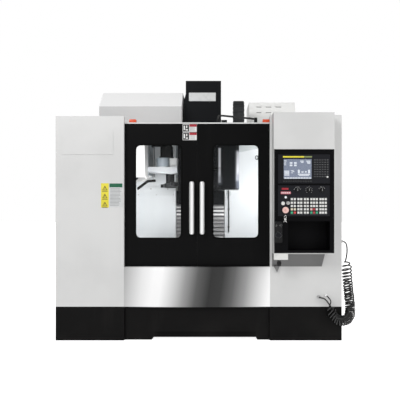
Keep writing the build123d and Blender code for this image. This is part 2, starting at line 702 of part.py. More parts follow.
CAM_BOTTOM = NOSE_Z + 78.0
CAM_SHOULDER = NOSE_Z + 146.0
CAM_TOP = NOSE_Z + 235.0
CAM_LEFT = FRAME_X + FRAME_PLATE
CAM_RIGHT = -221.0
CAM_FRONT = SPINDLE_Y - 120.0
CAM_BACK = SPINDLE_Y + 100.0
TOWER_LEFT = ARM_X - 60.0
TOWER_FRONT = CAM_FRONT + 60.0
GUIDE_DIAMETER = 84.0
DRUM_DIAMETER = 130.0       # indexing drum under the cam motor
DRUM_X = ARM_X - 65.0
DRUM_Y = CAM_FRONT + DRUM_DIAMETER / 2
CAM_MOTOR_SIDE = 130.0
CAM_MOTOR_LENGTH = 100.0
CAM_MOTOR_SHIFT = 36.0      # the motor stands between the drum and the tower
INDEX_MOTOR_SIDE = 96.0
INDEX_MOTOR_LENGTH = 80.0
FRAME_BACK = COLUMN_FRONT
FRAME_TOP = DISC_Z + 130.0


def changer_frame():
    """Plate frame of the tool changer, bolted to the column face, with the bearing of the disc."""
    plate = [
        (SPINDLE_Y - 70, DISC_Z - 90), (SPINDLE_Y - 70, DISC_Z + 90), (FRAME_BACK - 120, FRAME_TOP),
        (FRAME_BACK, FRAME_TOP), (FRAME_BACK, CAM_BOTTOM), (SPINDLE_Y - 20, CAM_BOTTOM),
    ]
    body = side_profile(plate, (FRAME_X, FRAME_X + FRAME_PLATE))
    bearing = HUB_DIAMETER + 2 * SHAFT_CLEARANCE
    body -= rod("x", (FRAME_X - 1, SPINDLE_Y, DISC_Z), FRAME_PLATE + 2, bearing)
    for y in (SPINDLE_Y + 190, SPINDLE_Y + 370):
        body -= rod("x", (FRAME_X - 1, y, DISC_Z - 20), FRAME_PLATE + 2, 130)
    beam_x = (FRAME_X, CENTRE_X - HEAD_SLIDE_HALF - 8)
    return body + span(beam_x, (FRAME_BACK - 32, FRAME_BACK), (CAM_BOTTOM, FRAME_TOP))


def changer_gearbox():
    """Cam box of the arm: sloped casing, a tower that guides the arm shaft, and the cam drum."""
    casing = [
        (CAM_LEFT, CAM_BOTTOM + 22), (CAM_RIGHT - 60, CAM_BOTTOM), (CAM_RIGHT, CAM_BOTTOM + 10),
        (CAM_RIGHT, CAM_SHOULDER), (CAM_LEFT, CAM_SHOULDER),
    ]
    body = front_profile(casing, (CAM_FRONT, CAM_BACK))
    tower = span((TOWER_LEFT, CAM_RIGHT), (TOWER_FRONT, CAM_BACK), (CAM_SHOULDER - 1, CAM_TOP))
    body += chamfer(tower.edges().filter_by(Axis.Z).sort_by(Axis.Y)[:2], 12)
    body += rod("z", (DRUM_X, DRUM_Y, CAM_SHOULDER - 1), CAM_TOP - CAM_SHOULDER + 1, DRUM_DIAMETER)
    bore = GUIDE_DIAMETER + 2 * SHAFT_CLEARANCE
    return body - rod("z", (ARM_X, SPINDLE_Y, CAM_BOTTOM - 1), CAM_TOP - CAM_BOTTOM - 9, bore)


def changer_motors():
    """Cam motor standing on the gearbox and index motor of the disc on the frame."""
    foot = (DRUM_X + CAM_MOTOR_SHIFT, CAM_FRONT + CAM_MOTOR_SIDE / 2, CAM_TOP)
    side = (FRAME_X + FRAME_PLATE, SPINDLE_Y + 280, DISC_Z + 60)
    return Compound([
        servo("+z", foot, side=CAM_MOTOR_SIDE, length=CAM_MOTOR_LENGTH),
        servo("+x", side, side=INDEX_MOTOR_SIDE, length=INDEX_MOTOR_LENGTH),
    ])


ARM_TOP = NOSE_Z - ARM_GAP


def arm_shaft():
    """Arm shaft: guided in the gearbox, it drops the arm to pull the tools."""
    shaft = rod("z", (ARM_X, SPINDLE_Y, ARM_TOP), CAM_TOP - 15 - ARM_TOP, GUIDE_DIAMETER)
    return shaft - rod("z", (ARM_X, SPINDLE_Y, ARM_TOP - 1), 30, 40 + 2 * SHAFT_CLEARANCE)


def change_arm():
    """Double arm: hub, two tapered blades and a hooked gripper at each end."""
    blade = [
        (46, 34), (
            34, ARM_RADIUS - 62,
        ), (50, ARM_RADIUS - 30), (50, ARM_RADIUS + 36), (26, ARM_RADIUS + 46),
        (-50, ARM_RADIUS - 6), (-50, ARM_RADIUS - 40), (-34, ARM_RADIUS - 62), (-46, 34),
    ]
    low = ARM_TOP - ARM_THICKNESS
    half = Pos(ARM_X, SPINDLE_Y, 0) * plan_profile(blade, (low, ARM_TOP))
    half -= rod("z", (ARM_X, SPINDLE_Y + ARM_RADIUS, low - 1), ARM_THICKNESS + 2, 64)
    half -= Pos(
        ARM_X - 40, SPINDLE_Y + ARM_RADIUS + 16, low + ARM_THICKNESS / 2,
    ) * Box(80, 56, ARM_THICKNESS + 2)
    axis = Axis((ARM_X, SPINDLE_Y, 0), (0, 0, 1))
    arm = half + half.rotate(axis, 180)
    arm += rod("z", (ARM_X, SPINDLE_Y, low - 10), ARM_THICKNESS + 10, 110)
    arm += rod("z", (ARM_X, SPINDLE_Y, ARM_TOP), 26, 40)
    return arm.rotate(axis, 90 - ARM_PARK)


HOOD_LEFT = -916.0
HOOD_STEP_X = -500.0
HOOD_RIGHT = -162.0
HOOD_FRONT = -690.0
HOOD_BACK = 110.0
HOOD_SHOULDER = 2089.0
HOOD_TOP = 2250.0
HOOD_SLOPE = 197.0
HOOD_BOTTOM = 1440.0
HOOD_SHELF = 1830.0


def magazine_hood():
    """Sheet hood over the disc, sloped at the front, with a shallower bay over the gearbox."""
    outline = [
        (HOOD_FRONT, HOOD_BOTTOM), (HOOD_FRONT, HOOD_SHOULDER), (HOOD_FRONT + HOOD_SLOPE, HOOD_TOP),
        (HOOD_BACK, HOOD_TOP), (HOOD_BACK, HOOD_BOTTOM),
    ]
    inside = [
        (HOOD_FRONT + SHEET, HOOD_BOTTOM - 1), (HOOD_FRONT + SHEET, HOOD_SHOULDER - 1),
        (HOOD_FRONT + HOOD_SLOPE + 1, HOOD_TOP - SHEET), (HOOD_BACK - SHEET, HOOD_TOP - SHEET),
        (HOOD_BACK - SHEET, HOOD_BOTTOM - 1),
    ]
    deep = side_profile(outline, (HOOD_LEFT, HOOD_STEP_X))
    bay = side_profile(outline, (HOOD_STEP_X, HOOD_RIGHT)) & span(
        (HOOD_STEP_X, HOOD_RIGHT), (HOOD_FRONT, HOOD_BACK), (HOOD_SHELF, HOOD_TOP)
    )
    hollow = side_profile(inside, (HOOD_LEFT + SHEET, HOOD_STEP_X - SHEET))
    bay_hollow = side_profile(inside, (HOOD_STEP_X - SHEET - 1, HOOD_RIGHT - SHEET)) & span(
        (HOOD_STEP_X - 10, HOOD_RIGHT), (HOOD_FRONT, HOOD_BACK), (HOOD_SHELF - 1, HOOD_TOP)
    )
    hood = deep + bay - hollow - bay_hollow
    gate = (SPINDLE_Y - 150, HOOD_BACK - 20)
    hood -= span((HOOD_STEP_X - SHEET - 1, HOOD_STEP_X + 1), gate, (HOOD_BOTTOM - 1, HOOD_SHELF))
    return hood - span(
        (FRAME_X, FRAME_X + FRAME_PLATE), (
            HOOD_BACK - SHEET - 1, HOOD_BACK + 1,
        ), (HOOD_BOTTOM - 1, DISC_Z + 130)
    )


# Enclosure
SKIRT_SET_BACK = 30.0
NOTCH_LEFT = -397.0
NOTCH_RIGHT = 502.0
NOTCH_HEIGHT = 24.0
INNER_LEFT = LEFT_EDGE + SIDE_WALL_DEPTH
INNER_RIGHT = RIGHT_EDGE - SIDE_WALL_DEPTH


def base_skirts():
    """Black base: two skirts that wrap the corners and a set back middle with a low notch."""
    back = REAR_WALL_Y
    left = pan((LEFT_EDGE, OPENING_LEFT), (FRONT_Y, back), (0, SKIRT_HEIGHT), "-z")
    left -= span(
        (LEFT_EDGE + SHEET, OPENING_LEFT + 1), (FRONT_Y + SHEET, back + 1),
        (-1, SKIRT_HEIGHT - SHEET),
    )
    right = pan((OPENING_RIGHT, RIGHT_EDGE), (FRONT_Y, back), (0, SKIRT_HEIGHT), "-z")
    right -= span(
        (OPENING_RIGHT - 1, RIGHT_EDGE - SHEET), (FRONT_Y + SHEET, back + 1),
        (-1, SKIRT_HEIGHT - SHEET),
    )
    outline = [
        (OPENING_LEFT, 0), (NOTCH_LEFT - 16, 0), (NOTCH_LEFT, NOTCH_HEIGHT), (
            NOTCH_RIGHT, NOTCH_HEIGHT,
        ),
        (NOTCH_RIGHT + 13, 0), (OPENING_RIGHT, 0), (
            OPENING_RIGHT, SKIRT_HEIGHT,
        ), (OPENING_LEFT, SKIRT_HEIGHT),
    ]
    front = FRONT_Y + SKIRT_SET_BACK
    middle = front_profile(outline, (front, front + SHEET))
    middle += span(
        (OPENING_LEFT, OPENING_RIGHT), (FRONT_Y, front + SHEET),
        (SKIRT_HEIGHT - SHEET, SKIRT_HEIGHT),
    )
    ends = [
        span((x, x + SHEET), (FRONT_Y, front), (0, SKIRT_HEIGHT - SHEET))
        for x in (OPENING_LEFT, OPENING_RIGHT - SHEET)
    ]
    return Compound([left, right, middle + ends])


def cabinet_face(left, right, top):
    """Front panel of a side cabinet, folded back all round."""
    face = pan((left, right), (FRONT_Y, FRONT_Y + PAN_DEPTH), (SKIRT_HEIGHT, top), "+y")
    return face


def left_face():
    """Left cabinet front with a bare raised plate."""
    face = cabinet_face(LEFT_EDGE, OPENING_LEFT, LEFT_TOP)
    x = (LEFT_EDGE + 54.5, OPENING_LEFT - 94)
    plate = span(x, (FRONT_Y - 4, FRONT_Y), (LEFT_TOP - 337, LEFT_TOP - 127))
    return face + fillet(plate.edges().filter_by(Axis.Y), 6)


def right_face():
    """Right cabinet front, which carries the operator panel."""
    return cabinet_face(OPENING_RIGHT, RIGHT_EDGE, RIGHT_TOP)


def side_walls():
    """Two folded side walls behind the cabinet fronts."""
    y = (FRONT_Y + PAN_DEPTH, REAR_WALL_Y)
    left = pan((LEFT_EDGE, INNER_LEFT), y, (SKIRT_HEIGHT, LEFT_TOP), "+x")
    right = pan((INNER_RIGHT, RIGHT_EDGE), y, (SKIRT_HEIGHT, RIGHT_TOP), "-x")
    return Compound([left, right])


Z_BAY_HALF = Z_COVER_WIDTH / 2 + 6.0
REAR_WALL_TOP = 1965.0


def rear_panels():
    """White splash guard panels left and right of the Z cover, slotted for the tool changer frame."""
    y = (REAR_WALL_Y - REAR_WALL_DEPTH, REAR_WALL_Y)
    left = pan((INNER_LEFT, CENTRE_X - Z_BAY_HALF), y, (SKIRT_HEIGHT, REAR_WALL_TOP), "+y")
    left -= span(
        (FRAME_X - SHEET, FRAME_X + FRAME_PLATE + SHEET), (y[0] - 1, y[1] + 1),
        (CAM_BOTTOM - SHEET, REAR_WALL_TOP + 1),
    )
    right = pan((CENTRE_X + Z_BAY_HALF, INNER_RIGHT), y, (SKIRT_HEIGHT, REAR_WALL_TOP), "+y")
    bed_half = BED_WIDTH / 2 + 2
    over_bed = span(
        (CENTRE_X - bed_half, CENTRE_X + bed_half), (y[0] - 1, y[1] + 1),
        (SKIRT_HEIGHT - 1, BED_TOP + 1),
    )
    return Compound([left - over_bed, right - over_bed])


def chip_pans():
    """Sloped stainless pans left and right of the bed, with a rim along the walls."""
    pans = []
    bed_edge = BED_WIDTH / 2
    y = (HEADER_BACK, REAR_WALL_Y - REAR_WALL_DEPTH)
    for side, wall in ((-1, INNER_LEFT), (1, INNER_RIGHT)):
        near = CENTRE_X + side * bed_edge
        outline = [
            (near, BED_FLOOR + 300), (wall, BED_FLOOR + 470), (wall, BED_FLOOR + 560), (
                wall - side * SHEET, BED_FLOOR + 560,
            ),
            (wall - side * SHEET, BED_FLOOR + 470 + SHEET), (near, BED_FLOOR + 300 + SHEET),
        ]
        pans.append(front_profile(outline, y))
    return Compound(pans)


def apron():
    """Polished apron under the doors: bowed in plan, with a top ledge that reaches the door track."""
    left, right = OPENING_LEFT, OPENING_RIGHT
    front, bow = FRONT_Y, FRONT_Y - APRON_BOW
    ledge_back = DOOR_FRONT - 4
    arc = ThreePointArc((left, front), (CENTRE_X, bow), (right, front))
    outline = make_face(
        [
            arc, Line((right, front), (right, ledge_back)),
            Line((right, ledge_back), (left, ledge_back)),
            Line((left, ledge_back), (left, front)),
        ]
    )
    body = Pos(0, 0, SKIRT_HEIGHT) * extrude(outline, APRON_TOP - SKIRT_HEIGHT)
    inner_arc = ThreePointArc(
        (left + APRON_SHEET, front + APRON_SHEET), (CENTRE_X, bow + APRON_SHEET), (
            right - APRON_SHEET, front + APRON_SHEET,
        )
    )
    back = ledge_back + 1
    hollow = make_face([
        inner_arc, Line((right - APRON_SHEET, front + APRON_SHEET), (right - APRON_SHEET, back)),
        Line((right - APRON_SHEET, back), (left + APRON_SHEET, back)),
        Line((left + APRON_SHEET, back), (left + APRON_SHEET, front + APRON_SHEET)),
    ])
    return body - Pos(0, 0, SKIRT_HEIGHT - 1) * extrude(
        hollow, APRON_TOP - SKIRT_HEIGHT + 1 - APRON_SHEET,
    )


TRACK_HEIGHT = 12.0
HEADER_HEIGHT = 10.0
HEADER_BACK = DOOR_BACK + 26.0
ROLLER_WIDTH = 12.0
ROLLER_GAP = 0.3
RAIL_THICKNESS = 6.0
RAIL_TOP = DOOR_TOP - RAIL_DROP
ROLLER_Z = RAIL_TOP + ROLLER_GAP + ROLLER_DIAMETER / 2


def door_tracks():
    """Header over the doors with the rail they hang on, and the lower guide track on its beam."""
    ends = (INNER_LEFT, INNER_RIGHT)
    header = span(ends, (DOOR_FRONT - 2, HEADER_BACK), (DOOR_TOP + 1, DOOR_TOP + 1 + SHEET))
    header += span(
        (OPENING_LEFT, OPENING_RIGHT), (DOOR_FRONT - 4, DOOR_FRONT - 2),
        (DOOR_TOP - 1, DOOR_TOP + HEADER_HEIGHT),
    )
    rail_z = (RAIL_TOP - RAIL_THICKNESS, RAIL_TOP)
    header += span(ends, (HEADER_BACK - SHEET, HEADER_BACK), (rail_z[0], DOOR_TOP + 1))
    header += span(ends, (HEADER_BACK - SHEET - ROLLER_WIDTH, HEADER_BACK - SHEET), rail_z)
    low = DOOR_BOTTOM - 2
    track = span(ends, (DOOR_FRONT, HEADER_BACK), (low - SHEET, low))
    track += span(ends, (HEADER_BACK - SHEET, HEADER_BACK), (SKIRT_HEIGHT, low))
    track -= span(
        (CENTRE_X - 130, CENTRE_X + 130), (HEADER_BACK - SHEET - 1, HEADER_BACK + 1),
        (SKIRT_HEIGHT - 1, Y_SCREW_Z + 80),
    )
    track += span(ends, (DOOR_BACK + 1, DOOR_BACK + 4), (low, low + TRACK_HEIGHT))
    return Compound([header, track])


def header_caps():
    """Two domed rubber stops on the header."""
    caps = []
    for x in (OPENING_LEFT + 68.0, OPENING_RIGHT - 29.0):
        base = DOOR_TOP + 1 + SHEET
        cap = rod("z", (x, DOOR_FRONT + 32, base), 22, 62)
        caps.append(fillet(cap.edges().sort_by(Axis.Z)[-1], 9))
    return Compound(caps)


def door_leaf(side):
    """Door leaf: folded sheet with a round-cornered window and two hanging rollers."""
    seam = CENTRE_X + side * DOOR_SEAM / 2
    outer = (OPENING_LEFT - DOOR_LAP) if side < 0 else (OPENING_RIGHT + DOOR_LAP)
    x = (min(seam, outer), max(seam, outer))
    leaf = pan(x, (DOOR_FRONT, DOOR_BACK), (DOOR_BOTTOM, DOOR_TOP), "+y")
    near = seam + side * WINDOW_FROM_SEAM
    far = near + side * WINDOW_WIDTH
    leaf -= rounded_window(
        (min(near, far), max(near, far)), (
            DOOR_FRONT - 1, DOOR_FRONT + SHEET + 1,
        ), (WINDOW_BOTTOM, WINDOW_TOP), WINDOW_RADIUS
    )
    for x_roller in (x[0] + 90, x[1] - 90):
        strap = span(
            (x_roller - 24, x_roller + 24), (DOOR_FRONT + SHEET, DOOR_BACK + 8),
            (ROLLER_Z - 8, ROLLER_Z + 8),
        )
        leaf += strap + rod(
            "y", (x_roller, DOOR_BACK + 8, ROLLER_Z), HEADER_BACK - SHEET - 1 - DOOR_BACK - 8,
            ROLLER_DIAMETER,
        )
    return leaf


def door_pane(side):
    """Window pane held behind the door sheet."""
    seam = CENTRE_X + side * DOOR_SEAM / 2
    near = seam + side * (WINDOW_FROM_SEAM - PANE_LAP)
    far = seam + side * (WINDOW_FROM_SEAM + WINDOW_WIDTH + PANE_LAP)
    return rounded_window(
        (min(near, far), max(near, far)), (DOOR_FRONT + SHEET, DOOR_FRONT + SHEET + PANE),
        (WINDOW_BOTTOM - PANE_LAP, WINDOW_TOP + PANE_LAP), WINDOW_RADIUS + PANE_LAP,
    )


def door_handle(side):
    """Tubular pull handle on two standoffs."""
    x = CENTRE_X + side * (DOOR_SEAM / 2 + HANDLE_FROM_SEAM)
    y = DOOR_FRONT - HANDLE_REACH + HANDLE_DIAMETER / 2
    tube = rod("z", (x, y, HANDLE_Z - HANDLE_LENGTH / 2), HANDLE_LENGTH, HANDLE_DIAMETER)
    tube = fillet(tube.edges().filter_by(GeomType.CIRCLE), HANDLE_DIAMETER * 0.4)
    for z in (HANDLE_Z - HANDLE_LENGTH / 2 + 46, HANDLE_Z + HANDLE_LENGTH / 2 - 46):
        tube += rod("y", (x, y, z), DOOR_FRONT - y, 26)
    return tube


# Operator panel
FRAME_THICKNESS = 12.0
DISPLAY_X = (673.0, 1110.0)
DISPLAY_Z = (1366.0, 1611.0)
DISPLAY_RISE = 4.0
SCREEN_X = (720.0, 956.0)
SCREEN_Z = (1403.0, 1574.0)
KEYPAD_X = (673.0, 1108.0)
KEYPAD_Z = (1091.0, 1351.0)
POCKET_X = (754.0, 1112.0)
POCKET_Z = (800.0, 1052.0)
POCKET_DEPTH = 150.0
KEY_RISE = 3.0
KNOB_DIAMETER = 38.0
KNOB_Z = 1310.0
KNOB_XS = (835.0, 933.0, 1042.0)
STOP_X, STOP_Z = 734.0, 1142.0
STOP_DIAMETER = 54.0
KEY_X, KEY_Z = 757.0, 1202.0
BUTTON_STEM = 12.0
STEM_CLEARANCE = 0.06


def control_box():
    """Sheet box of the operator panel, open behind against the cabinet, with a lip over the panel."""
    x, y = (BOX_LEFT, BOX_RIGHT), (BOX_FRONT, FRONT_Y)
    box = pan(x, y, (PANEL_BOTTOM, BOX_TOP), "+y")
    box -= span(
        (BOX_LEFT + SHEET, BOX_RIGHT - SHEET), (BOX_FRONT - 1, BOX_FRONT + SHEET + 1),
        (PANEL_BOTTOM + SHEET, PANEL_TOP),
    )
    lip = side_profile(
        [
            (BOX_FRONT - 10, PANEL_TOP), (BOX_FRONT, PANEL_TOP),
            (BOX_FRONT, PANEL_TOP + LIP_HEIGHT), (BOX_FRONT - 6, PANEL_TOP + LIP_HEIGHT),
        ],
        x,
    )
    return box + lip


def panel_frame():
    """Black panel plate with cut-outs for the display, the key panel and the storage pocket."""
    x = (BOX_LEFT + SHEET, BOX_RIGHT - SHEET)
    z = (PANEL_BOTTOM + SHEET, PANEL_TOP)
    plate = span(x, (BOX_FRONT, BOX_FRONT + FRAME_THICKNESS), z)
    for cut_x, cut_z in ((DISPLAY_X, DISPLAY_Z), (KEYPAD_X, KEYPAD_Z), (POCKET_X, POCKET_Z)):
        plate -= span(cut_x, (BOX_FRONT - 1, BOX_FRONT + FRAME_THICKNESS + 1), cut_z)
    plate += span((x[0], x[1]), (BOX_FRONT - 2, BOX_FRONT), (DISPLAY_Z[0] - 10, DISPLAY_Z[0] - 5))
    return plate


def display_unit():
    """Display and data input unit: a bezel with a recessed screen opening."""
    y = (BOX_FRONT - DISPLAY_RISE, BOX_FRONT + 60)
    unit = span(DISPLAY_X, y, DISPLAY_Z)
    unit = chamfer(unit.faces().sort_by(Axis.Y)[0].edges(), 2.5)
    return unit - rounded_window(SCREEN_X, (y[0] - 1, y[0] + 7), SCREEN_Z, 4)


def key_panel():
    """Machine key panel with bores for the stop button, the rotary switches and the key switch."""
    y = (BOX_FRONT - DISPLAY_RISE, BOX_FRONT + 50)
    plate = chamfer(span(KEYPAD_X, y, KEYPAD_Z).faces().sort_by(Axis.Y)[0].edges(), 2)
    bore = BUTTON_STEM + 2 * STEM_CLEARANCE
    for x in KNOB_XS:
        plate -= rod("y", (x, y[0] - 1, KNOB_Z), 22, bore)
    plate -= rod("y", (STOP_X, y[0] - 1, STOP_Z), 30, bore)
    return plate - rod("y", (KEY_X, y[0] - 1, KEY_Z), 22, bore)


KEY_COLUMNS = (
    788.4, 813.6, 843.9, 867.4, 898.5, 922.0, 952.3, 975.0, 998.5, 1028.8, 1049.8, 1073.3,
)
KEY_ROWS = (1234.0, 1204.5, 1176.8, 1149.0, 1121.3)
KEY_SIZE = 17.5
SOFT_KEY_COUNT = 12
SOFT_KEY_WIDTH = 15.0
SOFT_KEY_PITCH = 20.6
SOFT_KEY_Z = (1377.0, 1392.0)
DATA_KEY_ROWS = 8
DATA_KEY_COLUMNS = 6
DATA_KEYS_LEFT = 974.0
DATA_KEYS_BOTTOM = 1418.0
DATA_KEY_WIDTH = 16.0
DATA_KEY_HEIGHT = 13.0
DATA_KEY_PITCH_X = 21.6
DATA_KEY_PITCH_Z = 20.0
START_X = 715.0
START_Z = 1199.0
START_DIAMETER = 26.0
START_RISE = 8.0


def panel_keys():
    """Keys: soft keys under the screen, the data input block, the machine keys and the start button."""
    keys = []
    face = BOX_FRONT - DISPLAY_RISE
    y = (face - KEY_RISE, face)
    for k in range(SOFT_KEY_COUNT):
        x = SCREEN_X[0] - 4 + k * SOFT_KEY_PITCH
        keys.append(span((x, x + SOFT_KEY_WIDTH), y, SOFT_KEY_Z))
    for row in range(DATA_KEY_ROWS):
        z = DATA_KEYS_BOTTOM + row * DATA_KEY_PITCH_Z
        for column in range(DATA_KEY_COLUMNS):
            x = DATA_KEYS_LEFT + column * DATA_KEY_PITCH_X
            keys.append(span((x, x + DATA_KEY_WIDTH), y, (z, z + DATA_KEY_HEIGHT)))
    half = KEY_SIZE / 2
    for z in KEY_ROWS:
        for x in KEY_COLUMNS:
            keys.append(span((x - half, x + half), y, (z - half, z + half)))
    keys.append(rod("y", (START_X, face - START_RISE, START_Z), START_RISE, START_DIAMETER))
    return Compound(keys)


def rotary_knob(x):
    """Rotary switch knob: round skirt, finger grip and a stem in its bore."""
    face = BOX_FRONT - DISPLAY_RISE - 0.5
    knob = rod("y", (x, face - 4, KNOB_Z), 4, KNOB_DIAMETER)
    knob += rod("y", (x, face - 20, KNOB_Z), 16, KNOB_DIAMETER * 0.72)
    for side in (-1, 1):
        knob -= Pos(
            x + side * KNOB_DIAMETER * 0.42, face - 14, KNOB_Z,
        ) * Box(KNOB_DIAMETER * 0.4, 20, KNOB_DIAMETER)
    return knob + rod("y", (x, face, KNOB_Z), 20, BUTTON_STEM)


def stop_button():
    """Mushroom head of the emergency stop on its stem."""
    face = BOX_FRONT - DISPLAY_RISE
    head = rod("y", (STOP_X, face - 24, STOP_Z), 12, STOP_DIAMETER)
    head = fillet(head.edges().sort_by(Axis.Y)[0], 6)
    head += rod("y", (STOP_X, face - 12, STOP_Z), 4, STOP_DIAMETER * 0.7)
    return head + rod("y", (STOP_X, face - 8, STOP_Z), 28, BUTTON_STEM)


def key_switch():
    """Key switch barrel with the key in it and a second key on the ring."""
    face = BOX_FRONT - DISPLAY_RISE - 0.5
    body = rod("y", (KEY_X, face - 6, KEY_Z), 6, 22)
    body += Pos(KEY_X, face - 15, KEY_Z) * Box(3, 18, 20)
    return body + rod("y", (KEY_X, face, KEY_Z), 20, BUTTON_STEM)


def storage_pocket():
    """Open sheet pocket under the keys."""
    y = (BOX_FRONT, BOX_FRONT + POCKET_DEPTH)
    return pan(POCKET_X, y, POCKET_Z, "-y")


WHEEL_X, WHEEL_Z = 669.0, 934.0
PENDANT_DEPTH = 26.0


def pendant_body():
    """Handwheel pendant hung on the panel, with its two selectors."""
    y = (BOX_FRONT - PENDANT_DEPTH, BOX_FRONT)
    outline = Plane.XZ * Pos(674, 957) * RectangleRounded(66, 176, 12)
    body = Pos(0, y[1], 0) * extrude(outline, PENDANT_DEPTH)
    for x in (653.0, 694.0):
        body += rod("y", (x, y[0] - 6, 1006), 6, 18)
    return body - rod("y", (WHEEL_X + 5, y[0] - 1, WHEEL_Z), 15, 8 + 2 * STEM_CLEARANCE)


def pendant_wheel():
    """Handwheel of the pendant with its finger knob."""
    face = BOX_FRONT - PENDANT_DEPTH - 0.4
    wheel = rod(
        "y", (WHEEL_X + 5, face - 5, WHEEL_Z), 5, 56,
    ) + rod("y", (WHEEL_X + 5, face, WHEEL_Z), 12, 8)
    return wheel


def panel_underside():
    """Tapered closure under the control box."""
    wedge = side_profile(
        [(-1062, PANEL_BOTTOM), (FRONT_Y, 648), (FRONT_Y, PANEL_BOTTOM)],
        (BOX_LEFT + 4, 1078),
    )
    hollow = side_profile(
        [(-1050, PANEL_BOTTOM + 1), (FRONT_Y + 1, 655), (FRONT_Y + 1, PANEL_BOTTOM + 1)],
        (BOX_LEFT + 4 + SHEET, 1078 - SHEET),
    )
    return wedge - hollow


def service_socket():
    """Interface box under the left corner of the panel with a plugged round port below."""
    block = span((BOX_LEFT + 3, 758), (-1104, -1064), (724, PANEL_BOTTOM))
    return block + rod("z", (685, -1084, 668), 56, 32)


# Rear
DOOR_SHEET = 20.0


PLINTH = 120.0
PLINTH_INSET = 30.0
HINGE_DIAMETER = 14.0
HINGE_PIN = 6.0
HINGE_X = CABINET_RIGHT + HINGE_DIAMETER / 2 + 1.0
HINGE_Y = BACK_Y - DOOR_SHEET - 0.25
BARREL = 40.0
HINGE_ZS = (300.0, 1200.0, 2100.0)
BRACKET_HEIGHT = 60.0
BRACKET_ZS = (980.0, 1880.0)
LOUVRE_XS = ((619.0, 676.0), (725.0, 790.0), (837.0, 903.0))
LOUVRE_ZS = (2262.0, 2324.0)
LOUVRE_HEIGHT = 14.0
BOARD_FACE = CABINET_FRONT + 30.0     # mounting board inside
DRIVE_COUNT = 5
DRIVE_WIDTH = 64.0
DRIVE_PITCH = 84.0
DRIVE_DEPTH = 180.0
DRIVE_Z = (1500.0, 1860.0)


def cabinet_sheets():
    """The five bolted sheets of the cabinet; the right one carries the hinges."""
    y = (CABINET_FRONT, BACK_Y - DOOR_SHEET - 0.5)
    inner_x = (CABINET_LEFT + SHEET, CABINET_RIGHT - SHEET)
    plinth_x = (CABINET_LEFT + PLINTH_INSET, CABINET_RIGHT - PLINTH_INSET)
    left = span((CABINET_LEFT, CABINET_LEFT + SHEET), y, (PLINTH, CABINET_TOP))
    right = span((CABINET_RIGHT - SHEET, CABINET_RIGHT), y, (PLINTH, CABINET_TOP))
    for z in HINGE_ZS:
        low = z - BARREL - 0.5
        right += span((CABINET_RIGHT - 2, HINGE_X), (y[1] - 5, y[1]), (low, low + BARREL))
        right += rod("z", (HINGE_X, HINGE_Y, low), BARREL, HINGE_DIAMETER)
        right += rod("z", (HINGE_X, HINGE_Y, low), 2 * BARREL, HINGE_PIN)
    top = span(inner_x, y, (CABINET_TOP - SHEET, CABINET_TOP))
    floor = span(inner_x, y, (PLINTH, PLINTH + SHEET))
    floor += span(plinth_x, (y[0] + PLINTH_INSET, y[1] - PLINTH_INSET), (0, PLINTH))
    front = span(inner_x, (y[0], y[0] + SHEET), (PLINTH + SHEET, CABINET_TOP - SHEET))
    for x in LOUVRE_XS:
        for z in LOUVRE_ZS:
            front -= span(x, (y[0] - 1, y[0] + SHEET + 1), (z, z + LOUVRE_HEIGHT))
    return [left, right, top, floor, front]


def electrical_cabinet():
    """Electrical cabinet on a plinth behind the right side, open at the back behind its door."""
    board = span(
        (CABINET_LEFT + 40, CABINET_RIGHT - 40), (CABINET_FRONT + SHEET, BOARD_FACE),
        (240, CABINET_TOP - 120),
    )
    for k in range(DRIVE_COUNT):
        x = CABINET_LEFT + 80 + k * DRIVE_PITCH
        board += span((x, x + DRIVE_WIDTH), (BOARD_FACE, BOARD_FACE + DRIVE_DEPTH), DRIVE_Z)
    brackets = []
    for z in BRACKET_ZS:
        top = z + BRACKET_HEIGHT
        outline = [
            (CENTRE_X + column_half(z) + SEAT_GAP, z), (CABINET_LEFT, z),
            (CABINET_LEFT, top), (CENTRE_X + column_half(top) + SEAT_GAP, top),
        ]
        brackets.append(front_profile(outline, (CABINET_FRONT + 60, CABINET_FRONT + 120)))
    return Compound([*cabinet_sheets(), board, *brackets])


def electrical_door():
    """Door of the electrical cabinet with its latch recess and three hinge barrels."""
    y = (BACK_Y - DOOR_SHEET, BACK_Y)
    door = pan((CABINET_LEFT, CABINET_RIGHT), y, (PLINTH, CABINET_TOP), "-y")
    door -= span(
        (CABINET_LEFT + 40, CABINET_LEFT + 70), (BACK_Y - 2, BACK_Y + 1), (1180, 1330),
    )
    for z in HINGE_ZS:
        door += span((CABINET_RIGHT - 2, HINGE_X), (y[0], y[0] + 5), (z, z + BARREL))
        door += rod("z", (HINGE_X, HINGE_Y, z), BARREL, HINGE_DIAMETER)
        door -= rod("z", (HINGE_X, HINGE_Y, z - 1), BARREL + 2, HINGE_PIN + 2 * SHAFT_CLEARANCE)
    return door


TANK_X = (-1190.0, -490.0)
TANK_Y = (660.0, 1120.0)
TANK_TOP = 430.0


def coolant_tank():
    """Coolant tank on castors-height feet with a flanged lid."""
    tank = span(TANK_X, TANK_Y, (40, TANK_TOP))
    tank = fillet(tank.edges().filter_by(Axis.Z), 20)
    tank += span(
        (TANK_X[0] - 12, TANK_X[1] + 12), (TANK_Y[0] - 12, BACK_Y - 8),
        (TANK_TOP, TANK_TOP + 6),
    )
    for x in (TANK_X[0] + 60, TANK_X[1] - 60):
        for y in (TANK_Y[0] + 60, TANK_Y[1] - 60):
            tank += rod("z", (x, y, 0), 40, 60)
    return tank


